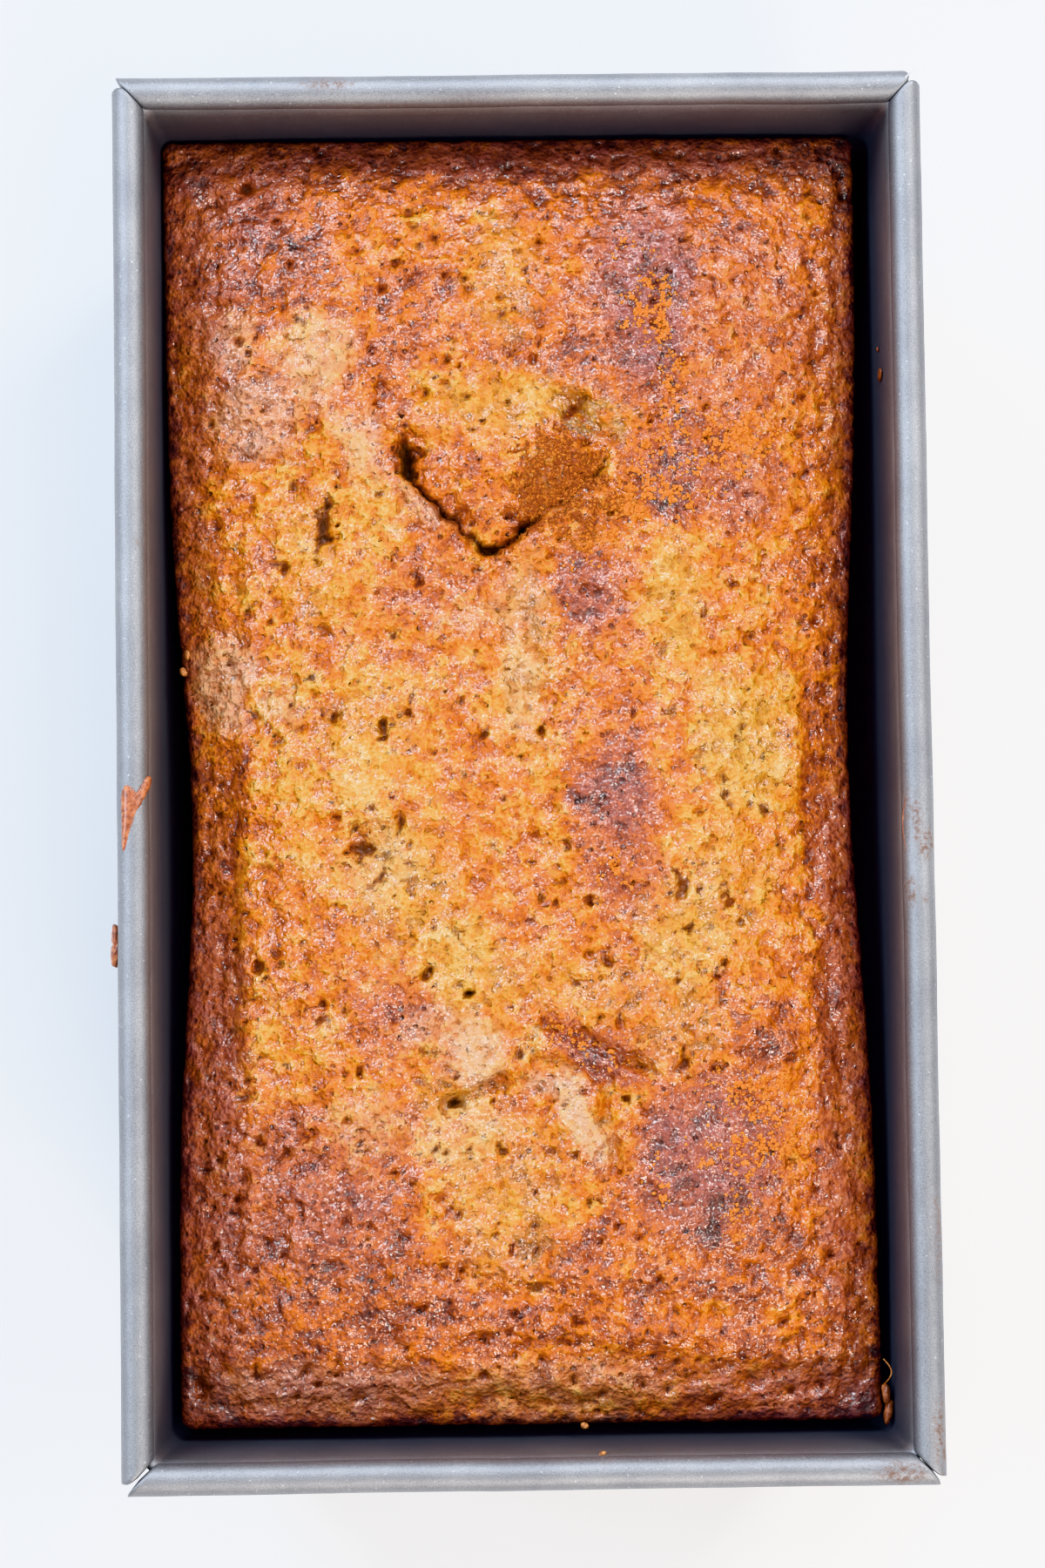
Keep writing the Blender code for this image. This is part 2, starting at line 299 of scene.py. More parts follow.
def random_pores():
    """Small pores, denser in some zones, in the form of PITS."""
    random = np.random.default_rng(41)
    pores = []
    for at_x, at_y, radius_x, radius_y, density in PORE_ZONES:
        count = int(density * math.pi * radius_x * radius_y / 100)
        for _ in range(count):
            angle, reach = random.uniform(0, 2 * math.pi), math.sqrt(random.uniform())
            x = at_x + radius_x * reach * math.cos(angle)
            y = at_y + radius_y * reach * math.sin(angle)
            size = 0.30 + 0.42 * random.uniform() ** 3
            length = size * random.uniform(0.7, 1.5)
            pores.append((x, y, size, length, size * PORE_DEEPNESS, random.uniform(0, 180)))
    return pores


def stamp_pits(x, y, pits, ragged):
    """Depth of all pits at every crust point, worked out near each pit only."""
    depth = np.zeros(x.shape)
    rows, columns = y[:, x.shape[1] // 2], x[x.shape[0] // 2, :]
    for at_x, at_y, radius_x, radius_y, deep, *turn in pits:
        reach = 2.2 * max(radius_x, radius_y) + 3.0
        low_row, high_row = np.searchsorted(rows, (at_y - reach, at_y + reach))
        low_column, high_column = np.searchsorted(columns, (at_x - reach, at_x + reach))
        part = (slice(low_row, high_row), slice(low_column, high_column))
        if low_row == high_row or low_column == high_column:
            continue
        gap = oval_distance(x[part], y[part], at_x, at_y, radius_x, radius_y, *turn)
        gap = gap * (1 + 0.75 * ragged[part])
        depth[part] = np.maximum(depth[part], deep * np.exp(-gap ** 3))
    return depth


def crack_relief(x, y):
    """The crack: a soft fall on the tongue's side, a steep lip on the other."""
    crack_x, crack_y = np.array(CRACK).T
    gap = np.full(x.shape, 99.0)
    for start, end in zip(CRACK, CRACK[1:]):
        gap = np.minimum(gap, run_distance(x, y, start, end))
    deep = np.interp(x, crack_x, CRACK_DEPTH)
    tongue = smooth_step(-0.4, 0.4, y - np.interp(x, crack_x, crack_y))
    beyond = (x < crack_x[0]) | (x > crack_x[-1])
    tongue = np.where(beyond, 0.5, tongue)
    fall = mix(0.40 * np.exp(-(gap / 1.1) ** 2), 0.75 * np.exp(-(gap / 3.8) ** 2), tongue)
    cleft = 0.8 * np.exp(-(gap / 0.6) ** 2) * smooth_step(1.4, 2.6, deep)
    lip = (1 - tongue) * 0.30 * deep * np.exp(-((gap - 2.4) / 1.8) ** 2)
    return deep * (fall + cleft), lip


def crust_relief(x, y):
    """Everything that stands on or sinks into the dome, in millimetres."""
    wander_x = x + 1.1 * layered_noise(x, y, 6.0, 3) + 0.35 * gradient_noise(x, y, 1.7, 5)
    wander_y = y + 1.1 * layered_noise(x, y, 6.0, 4) + 0.35 * gradient_noise(x, y, 1.7, 6)
    rise = np.zeros(x.shape)
    for at_x, at_y, radius_x, radius_y, height in MOUNDS:
        rise += height * np.exp(-oval_distance(wander_x, wander_y, at_x, at_y, radius_x, radius_y) ** 2)
    cut, lip = crack_relief(wander_x, wander_y)
    rise += lip
    for start, end, width, depth in FURROWS:
        gap = run_distance(wander_x, wander_y, start, end)
        cut = np.maximum(cut, depth * np.exp(-(gap / width) ** 2))
    for edge_x, low_y, high_y, inward in DOME_STEPS:
        window = smooth_step(low_y - STEP_FADE, low_y + STEP_FADE, y)
        window *= 1 - smooth_step(high_y - STEP_FADE, high_y + STEP_FADE, y)
        rise += STEP_HEIGHT / 2 * window * np.tanh((wander_x - edge_x) * inward / STEP_SOFTNESS)
    folds = (1 - smooth_step(*END_FOLD_Y, y)) * smooth_step(*END_FOLD_X, x)
    rise += END_FOLD_HEIGHT * folds * np.sin(2 * np.pi * (wander_y + END_FOLD_SLANT * x) / END_FOLD_WAVE)

    rise += 0.55 * layered_noise(x, y, 9.0, 11, layers=2)
    rise += 0.34 * layered_noise(x + 3, y, 3.6, 12, layers=2)
    rise += 0.44 * (0.55 - cell_noise(wander_x, wander_y, 2.9, 13))
    rise += 0.26 * (0.5 - cell_noise(wander_x, wander_y, 1.7, 14))
    smooth_patch = np.exp(-oval_distance(wander_x, wander_y, *SMOOTH_PATCH) ** 4)
    rise -= 0.55 * smooth_patch * (rise - 0.6)

    ragged = layered_noise(x, y, 1.9, 15, layers=2)
    pores = stamp_pits(x, y, random_pores(), ragged) * (1 - 0.8 * smooth_patch)
    pits = stamp_pits(x, y, PITS, ragged)
    return rise, cut, np.maximum(pits, pores)


def blurred(field, rounds):
    """Spread a grid of values over its neighbours."""
    for _ in range(rounds):
        wide = np.pad(field, 1, mode="edge")
        field = (wide[:-2, 1:-1] + 2 * wide[1:-1, 1:-1] + wide[2:, 1:-1]) / 4
        wide = np.pad(field, 1, mode="edge")
        field = (wide[1:-1, :-2] + 2 * wide[1:-1, 1:-1] + wide[1:-1, 2:]) / 4
    return field


def dome_share(distance):
    return 1 - (1 - np.minimum(distance / SHOULDER, 1.0)) ** DOME_FULLNESS


class Crust:
    """The crust's grid: places, heights and what sank into it."""

    def __init__(self):
        across = gathered(np.linspace(-1, 1, ACROSS + 1), *GATHER_ACROSS)
        along = gathered(np.linspace(-1, 1, ALONG + 1), *GATHER_ALONG)
        self.u, self.v = np.meshgrid(across, along)
        x, y = bread_place(self.u, self.v, 1.0, 0.0)
        from_side = (1 - abs(self.u)) * side_half_width(self.u, self.v)
        from_end = (1 - abs(self.v)) * end_half_length(self.v)
        self.from_edge = np.minimum(from_side, from_end)
        self.from_corner = np.hypot(from_side, from_end)
        rise, cut, pits = crust_relief(x, y)
        dome = DOME_RISE * dome_share(from_side) * dome_share(from_end)
        fade = smooth_step(0.0, BORDER, self.from_edge)
        border = 0.35 + 0.65 * fade
        arris = ARRIS_DROP * (1 - np.clip(self.from_edge / ARRIS, 0, 1)) ** 2
        self.cut = fade * cut
        self.pits = pits * smooth_step(0.3, 1.5, self.from_edge)
        height = CRUST_EDGE + dome + border * rise - self.cut - self.pits - arris
        self.height = np.minimum(height, CROWN)
        ragged = 0.30 * layered_noise(x, y, 4.0, 21)
        edge = (1 - smooth_step(0.0, 3.0, self.from_edge)) * ragged
        self.x = x - np.where(from_side < from_end, np.sign(self.u) * abs(edge), 0)
        self.y = y - np.where(from_side < from_end, 0, np.sign(self.v) * abs(edge))
        self.hollow = np.clip(blurred(self.height, 14) - self.height, -1.5, 1.5)
        self.crevice = np.clip((blurred(self.height, 4) - self.height) / 0.22, -1.0, 1.0)


# ------------------------------------------------------ the crust's colour

# Tone runs from 0, pale crumb, through golden, orange, red and brown to 1,
# nearly black.  Patch: centre x, y, radius x, y, tone and, where they aren't
# 0.9 and 0, strength and turn in degrees.
TONES = (
    # far end
    (-14, 94, 16, 8, 0.42), (-7, 98, 4, 3, 0.3, 0.8), (-40, 90, 12, 8, 0.68), (-30, 97, 8, 5, 0.54, 0.8),
    (-27, 88, 8, 6, 0.46), (5, 90, 9, 7, 0.46), (18, 92, 8, 7, 0.6), (37, 92, 11, 7, 0.57),
    (44, 97, 7, 4, 0.5, 0.8), (-22, 77, 9, 6, 0.56), (-9, 76, 7, 8, 0.44), (-2, 85, 5, 6, 0.36, 0.8),
    (7, 77, 7, 6, 0.5), (14, 73, 8, 5, 0.66, 0.9, 15), (24, 79, 7, 13, 0.74, 0.95), (38, 78, 9, 10, 0.47),
    (47, 82, 5, 9, 0.56, 0.8), (33, 66, 10, 6, 0.52, 0.8),
    # above and beside the crack
    (-35, 74, 7, 8, 0.28), (-49, 76, 5, 5, 0.44), (-46, 62, 7, 7, 0.62), (-38, 58, 5, 6, 0.5),
    (-11, 66, 9, 4.5, 0.34), (2, 64, 6, 4.5, 0.24), (-14, 60, 5, 5, 0.36),
    (-28.5, 57.5, 2.6, 5.5, 0.24, 0.95, 28), (-10, 52, 7, 7, 0.52), (-4, 58, 5, 4, 0.32),
    (13, 62, 6, 4, 0.68, 0.9, 30), (26, 44.5, 6, 4, 0.74), (27, 52, 10, 9, 0.72), (38, 47, 8, 7, 0.58),
    (20, 61, 5, 4, 0.54, 0.8), (27, 61, 6, 4, 0.62, 0.8), (-1, 46, 5, 4, 0.6, 0.8),
    (-12, 45, 4, 6, 0.62, 0.8, -40),
    # left of the groove
    (-37, 45, 7, 13, 0.32), (-26, 44, 6, 10, 0.24, 0.95, 20), (-41, 30, 7, 7, 0.42, 0.8),
    (-28, 31, 7, 7, 0.34), (-17, 33, 8, 7, 0.5, 0.9, -30), (-11, 27, 5, 4, 0.4), (-40, 16, 6, 7, 0.24),
    (-27, 15, 7, 8, 0.3), (-13, 15, 7, 7, 0.32), (-1, 27, 5, 12, 0.46), (0, 15, 5, 7, 0.18),
    (-40, 1, 8, 8, 0.27), (-27, -1, 8, 8, 0.2), (-13, 0, 7, 7, 0.32), (-43, -14, 5, 10, 0.38),
    (-35, -13, 5, 8, 0.32), (-24, -16, 7, 9, 0.2), (-12, -15, 6, 8, 0.4), (-56, 22, 4, 11, 0.48),
    (-49, 20, 4, 9, 0.5, 0.8),
    # right of the groove
    (11, 32, 7, 9, 0.68), (26, 32, 8, 10, 0.27, 0.95), (38, 31, 6, 10, 0.38), (46, 38, 4, 24, 0.44),
    (9, 18, 6, 7, 0.42), (16, 10, 7, 8, 0.5), (26, 17, 6, 8, 0.28), (39, 13, 8, 9, 0.27, 0.95),
    (37, 1, 10, 12, 0.2, 0.95), (16, -2, 8, 10, 0.74, 0.95), (25, 1, 4, 8, 0.46, 0.8),
    (2, 0, 6, 12, 0.34), (1, -15, 6, 8, 0.4), (13, -14, 6, 7, 0.58), (20, -18, 6, 8, 0.56, 0.9, 20),
    (28, -15, 7, 8, 0.25), (41, -13, 6, 8, 0.38),
    # lower middle
    (-38, -30, 8, 7, 0.5), (-25, -29, 6, 6, 0.4), (-12, -30, 7, 9, 0.18), (0, -30, 7, 7, 0.38),
    (13, -28, 7, 6, 0.46), (27, -30, 8, 8, 0.22, 0.95), (41, -30, 7, 7, 0.44), (-40, -46, 7, 9, 0.34),
    (-24, -41, 7, 6, 0.58), (-30, -51, 8, 4, 0.4), (-9, -45.5, 5, 4.5, 0.12, 0.95),
    (-15, -47, 4, 4, 0.34, 0.8), (2, -38, 9, 4, 0.34, 0.9, -10), (10, -47, 11, 4, 0.74, 0.95, -18),
    (0, -47, 4, 4, 0.22), (26, -43, 6, 6, 0.55), (41, -44.5, 8, 7, 0.66, 0.95), (36, -55, 9, 5, 0.56),
    # near end
    (-12, -60, 9, 7, 0.2, 0.95), (-27, -60, 6, 5, 0.34, 0.9, -30), (-14, -74, 6, 7, 0.33),
    (2, -60, 5, 7, 0.42), (8.5, -58, 3.6, 6.5, 0.1, 0.95, 35), (15, -59, 4, 7, 0.32),
    (5, -71, 9, 7, 0.36), (-8, -74, 8, 8, 0.34), (30, -66, 13, 15, 0.72, 0.95), (-41, -64, 9, 9, 0.55),
    (-35, -77, 12, 9, 0.64, 0.9, -20), (-4, -86, 9, 5, 0.46), (-16, -90, 9, 6, 0.6),
    (6, -92, 12, 5, 0.54), (20, -83, 9, 4, 0.5), (36, -86, 10, 4, 0.62), (28, -91, 8, 3.5, 0.5),
    (45, -91, 7, 5, 0.5), (-36, -90, 14, 7, 0.66), (30, -98, 5, 3, 0.4, 0.8), (43, -102, 7, 3, 0.56, 0.8),
    (52, -66, 3.5, 20, 0.56, 0.8), (46, -68, 4, 10, 0.5, 0.8), (3, -104, 24, 6, 0.47),
    (-34, -104, 16, 5, 0.54, 0.8), (36, -105, 12, 4, 0.54, 0.8),
)
# Purple-brown of the hardest baked skin, with a painted bluish sheen: the
# reflection of the sky on its gloss.  Patch, here and below: centre x, y,
# radius x, y, strength and, where it isn't 0, turn in degrees.
MAUVE_AND_SHEEN_PATCHES = (
    (-50, 101, 14, 9, 0.6), (0, 108, 60, 4, 0.8), (22, 84, 9, 18, 0.95), (38, 78, 16, 20, 0.35),
    (12, 32, 7, 10, 0.6), (16, -3, 8, 11, 0.6), (17, -17, 7, 8, 0.45), (40, 50, 9, 7, 0.5),
    (27, 53, 8, 10, 0.4), (30, -65, 13, 13, 0.8), (-37, -68, 17, 14, 0.55), (-55, -62, 8, 50, 0.8),
    (-54, 90, 8, 24, 0.6), (56, -22, 6, 26, 0.7), (-15, 32, 10, 7, 0.3), (-22, -40, 9, 9, 0.35),
    (12, -47, 11, 5, 0.5, -15), (-38, -105, 24, 6, 0.7), (42, -106, 20, 6, 0.7), (54, -60, 5, 42, 0.6),
    (56, 60, 3, 40, 0.5), (-57, 60, 4, 60, 0.5), (20, -103, 16, 4, 0.3),
)
# Dry, pale beige skin.
BEIGES = (
    (-49, 76, 5, 5, 0.6), (-35, 72, 7, 9, 0.65), (-46, 62, 8, 8, 0.5), (-27.5, 57, 4, 7, 0.6, 25),
    (-17, 46.5, 2.2, 7.5, 0.5, 55), (-51, 17, 5.5, 8, 0.7), (-9, -47, 6, 5.5, 0.9),
    (9, -58.5, 3.6, 8, 1, 30), (-1, 30, 4, 8, 0.3), (-16, -42, 5, 4, 0.5), (4, -53, 6, 2.2, 0.8, -20),
    (4, -104, 20, 6, 0.3), (-36, -104, 22, 5, 0.3), (-12, -60, 8, 6, 0.35), (0, 15, 4, 8, 0.5),
    (-26, -15, 7, 6, 0.35), (-26, -60, 6, 5, 0.4, -30), (-41, 13, 3, 4, 0.45), (-10, 27, 5, 3.5, 0.35),
)
# Damp, greenish-yellow crumb.
KHAKIS = (
    (-21, -18, 10, 12, 0.8), (-9, -34, 7, 9, 0.9), (38, 6, 9, 12, 0.8), (28, -26, 9, 9, 0.8),
    (-2, 64, 15, 6, 0.7), (12, 62, 7, 4, 0.9), (26, 30, 6, 10, 0.7), (0, 20, 5, 16, 0.7),
    (-4, -72, 10, 14, 0.6), (-36, 36, 6, 12, 0.5), (26, -42, 8, 8, 0.7), (-26, 8, 9, 10, 0.6),
    (-3, 86, 6, 12, 0.5), (-12, -54, 8, 4, 0.6), (35, -20, 8, 10, 0.6), (10, -36, 12, 5, 0.5),
)
# Cinnamon dust, the strength being how thickly it lies.
DUSTS = (
    (6, 50, 9.5, 7.5, 1, 20), (2, 43, 5, 2.5, 0.9, 30), (18, 47, 7, 4, 0.8, 35),
    (11, 42, 7, 3.5, 0.7, 25), (27.5, 49, 6, 7, 0.45), (22.5, 79, 5, 6.5, 0.62), (25.5, 67, 4, 9, 0.42),
    (35, 57, 11, 6, 0.52, 15), (23, 57, 5, 5, 0.45), (10, 35, 6, 5, 0.3), (14.6, -17.6, 4, 4.4, 0.5),
    (9, -46, 10, 4, 0.35, -10), (39, -55, 10, 5, 0.55, -8), (38, -64, 9, 6, 0.62), (35, -75, 4, 5, 0.5),
    (22, -69, 3, 5, 0.4), (20, 90, 5, 5, 0.2),
)
DUST_COUNT = 13000
# Where the left border is pale like the middle: centre, radii, strength.
PALE_BORDER = (-54, 20, 7, 13, 1.0)
# Tones under the patches: the middle and both ends, then the least tone of the
# edge, the corners, the far end, the near end by distance from the middle line,
# and the side bands by place along the bread.
MIDDLE_TONE = 0.42
END_TONE = 0.62
EDGE_TONE = 0.94
CORNER_TONE = 0.88
FAR_END_TONE = 0.76
NEAR_END_TONES = ((12, 30, 50), (0.26, 0.46, 0.58))
LEFT_BAND_TONES = ((-90, -40, 0, 25, 50), (0.59, 0.60, 0.63, 0.58, 0.55))
RIGHT_BAND_TONES = ((-60, -20, 35, 60), (0.58, 0.64, 0.62, 0.46))
LEFT_BAND_EDGE = 49.0
RIGHT_BAND_EDGE = 48.5


def patch_weight(x, y, at_x, at_y, radius_x, radius_y, strength=0.9, turn=0):
    gap = oval_distance(x, y, at_x, at_y, radius_x, radius_y, turn)
    return strength * (1 - smooth_step(0.55, 1.3, gap))


def most_of(x, y, patches):
    most = np.zeros(x.shape)
    for patch in patches:
        most = np.maximum(most, patch_weight(x, y, *patch))
    return most


def dust_amount(x, y):
    """How thickly the cinnamon lies, thinning outwards from each patch."""
    most = np.zeros(x.shape)
    for at_x, at_y, radius_x, radius_y, strength, *turn in DUSTS:
        gap = oval_distance(x, y, at_x, at_y, radius_x, radius_y, *turn)
        most = np.maximum(most, strength * np.exp(-1.1 * gap ** 2.4))
    return most


def crust_colouring(crust):
    """Per-point values that the crust's material reads."""
    x, y = crust.x, crust.y
    wander_x = x + 2.2 * layered_noise(x, y, 9.0, 31) + 0.9 * layered_noise(x, y, 2.4, 32)
    wander_y = y + 2.2 * layered_noise(x, y, 9.0, 33) + 0.9 * layered_noise(x, y, 2.4, 34)
    tone = mix(MIDDLE_TONE, END_TONE, smooth_step(45.0, 85.0, abs(wander_y)))
    for at_x, at_y, radius_x, radius_y, own_tone, *rest in TONES:
        weight = patch_weight(wander_x, wander_y, at_x, at_y, radius_x, radius_y, *rest)
        tone = mix(tone, own_tone, weight)
    loose = 0.8 + 2.4 * smooth_step(25.0, 60.0, abs(y + 20.0))
    swing = 2.4 * loose * gradient_noise(x, y, 15.0, 38)
    band = smooth_step(-1.5, 1.5, (-wander_x - LEFT_BAND_EDGE + swing) / loose)
    band += smooth_step(-1.5, 1.5, (wander_x - RIGHT_BAND_EDGE + swing) / loose)
    plain = 1 - patch_weight(wander_x, wander_y, *PALE_BORDER)
    left_tone = np.interp(wander_y, *LEFT_BAND_TONES)
    side_tone = np.where(wander_x > 0, np.interp(wander_y, *RIGHT_BAND_TONES), left_tone)
    tone = mix(tone, np.maximum(tone, side_tone), band * plain)
    edge = crust.from_edge + 1.3 * layered_noise(x, y, 3.0, 35)
    tone = mix(tone, np.maximum(tone, EDGE_TONE), 1 - smooth_step(0.3, 2.6, edge))
    tone = mix(tone, np.maximum(tone, FAR_END_TONE), smooth_step(98.0, 108.0, wander_y))
    near_tone = np.interp(abs(wander_x), *NEAR_END_TONES)
    tone = mix(tone, np.maximum(tone, near_tone), smooth_step(98.0, 107.0, -wander_y))
    tone = mix(tone, np.maximum(tone, CORNER_TONE), 1 - smooth_step(3.0, 13.0, crust.from_corner))
    tone += 0.35 * np.maximum(tone - 0.48, 0) * smooth_step(8.0, 16.0, crust.from_edge)
    tone += 0.06 * gradient_noise(x, y, 7.0, 36) + 0.09 * layered_noise(x, y, 3.2, 37, layers=3)
    tone -= 0.10 * np.clip(crust.hollow, -0.8, 0.8)
    # How deep the crack and pits cut in; the material paints shade there.
    deep = smooth_step(1.4, 4.8, crust.cut) + smooth_step(0.3, 2.2, crust.pits)
    return {
        "tone": np.clip(tone, 0.0, 1.0),
        "mauve_and_sheen": most_of(wander_x, wander_y, MAUVE_AND_SHEEN_PATCHES),
        "beige": most_of(wander_x, wander_y, BEIGES),
        "khaki": most_of(wander_x, wander_y, KHAKIS),
        "dust": dust_amount(wander_x, wander_y),
        "deep": np.clip(deep, 0.0, 1.0),
        "crevice": np.clip(crust.crevice, 0.0, 1.0),
        "ridge": np.clip(-crust.crevice, 0.0, 1.0),
    }


# --------------------------------------------------------------- materials

class Nodes:
    """Short names for building one node material."""

    def __init__(self, name):
        self.material = bpy.data.materials.new(name)
        self.material.use_nodes = True
        self.tree = self.material.node_tree
        self.shader = self.tree.nodes["Principled BSDF"]
        place = self.add("ShaderNodeTexCoord")
        scale = self.add("ShaderNodeMapping")
        scale.inputs["Scale"].default_value = (1 / MM, 1 / MM, 1 / MM)
        self.join(place.outputs["Object"], scale.inputs["Vector"])
        self.place = scale.outputs["Vector"]

    def add(self, kind, **settings):
        node = self.tree.nodes.new(kind)
        for key, value in settings.items():
            setattr(node, key, value)
        return node

    def join(self, source, target):
        if isinstance(source, (int, float)):
            target.default_value = source
        elif isinstance(source, tuple):
            target.default_value = (*source, 1.0) if len(source) == 3 else source
        else:
            self.tree.links.new(source, target)

    def value(self, name):
        return self.add("ShaderNodeAttribute", attribute_name=name).outputs["Fac"]

    def noise(self, size, detail=4.0, rough=0.6, stretch=None, seed=0.0):
        """Noise whose features are about `size` millimetres."""
        node = self.add("ShaderNodeTexNoise")
        node.inputs["Scale"].default_value = 1 / size
        node.inputs["Detail"].default_value = detail
        node.inputs["Roughness"].default_value = rough
        place = self.place
        if stretch or seed:
            shift = self.add("ShaderNodeMapping")
            shift.inputs["Location"].default_value = (seed, seed * 0.7, seed * 0.3)
            shift.inputs["Scale"].default_value = stretch or (1, 1, 1)
            self.join(place, shift.inputs["Vector"])
            place = shift.outputs["Vector"]
        self.join(place, node.inputs["Vector"])
        return node.outputs["Fac"]

    def cells(self, size):
        node = self.add("ShaderNodeTexVoronoi")
        node.inputs["Scale"].default_value = 1 / size
        self.join(self.place, node.inputs["Vector"])
        return node

    def math(self, operation, first, second=0.0, clamp=False):
        node = self.add("ShaderNodeMath", operation=operation, use_clamp=clamp)
        self.join(first, node.inputs[0])
        self.join(second, node.inputs[1])
        return node.outputs[0]

    def span(self, source, low, high, out_low=0.0, out_high=1.0):
        node = self.add("ShaderNodeMapRange")
        node.interpolation_type = "SMOOTHSTEP"
        ends = {"From Min": low, "From Max": high, "To Min": out_low, "To Max": out_high}
        for socket, number in ends.items():
            node.inputs[socket].default_value = number
        self.join(source, node.inputs["Value"])
        return node.outputs["Result"]

    def ramp(self, source, stops):
        node = self.add("ShaderNodeValToRGB")
        band = node.color_ramp
        while len(band.elements) < len(stops):
            band.elements.new(0.5)
        for element, (place, colour) in zip(band.elements, stops):
            element.position = place
            element.color = (*colour, 1.0)
        self.join(source, node.inputs["Fac"])
        return node.outputs["Color"]

    def blend(self, share, first, second, kind="MIX"):
        node = self.add("ShaderNodeMix", data_type="RGBA", blend_type=kind)
        self.join(share, node.inputs["Factor"])
        self.join(first, node.inputs["A"])
        self.join(second, node.inputs["B"])
        return node.outputs["Result"]

    def bump(self, height, depth, below=None):
        node = self.add("ShaderNodeBump")
        node.inputs["Strength"].default_value = 1.0
        node.inputs["Distance"].default_value = depth * MM
        self.join(height, node.inputs["Height"])
        if below is not None:
            self.join(below, node.inputs["Normal"])
        return node.outputs["Normal"]

    def set(self, **sockets):
        for name, source in sockets.items():
            self.join(source, self.shader.inputs[name.replace("_", " ")])


TONE_RAMP = (
    (0.00, (0.60, 0.40, 0.17)),
    (0.15, (0.60, 0.30, 0.048)),
    (0.28, (0.61, 0.228, 0.018)),
    (0.42, (0.57, 0.155, 0.008)),
    (0.56, (0.46, 0.108, 0.009)),
    (0.70, (0.34, 0.070, 0.011)),
    (0.84, (0.18, 0.040, 0.018)),
    (1.00, (0.050, 0.015, 0.011)),
)
# Purple-brown skin colour with a painted bluish sheen.
MAUVE_AND_SHEEN = (0.270, 0.078, 0.068)
BEIGE = (0.55, 0.33, 0.20)
KHAKI = (0.50, 0.275, 0.042)
CINNAMON = (0.24, 0.056, 0.016)
# Painted shade at the bottom of the crack and the deepest pits.
PAINTED_DEEP_SHADE = (0.085, 0.028, 0.010)


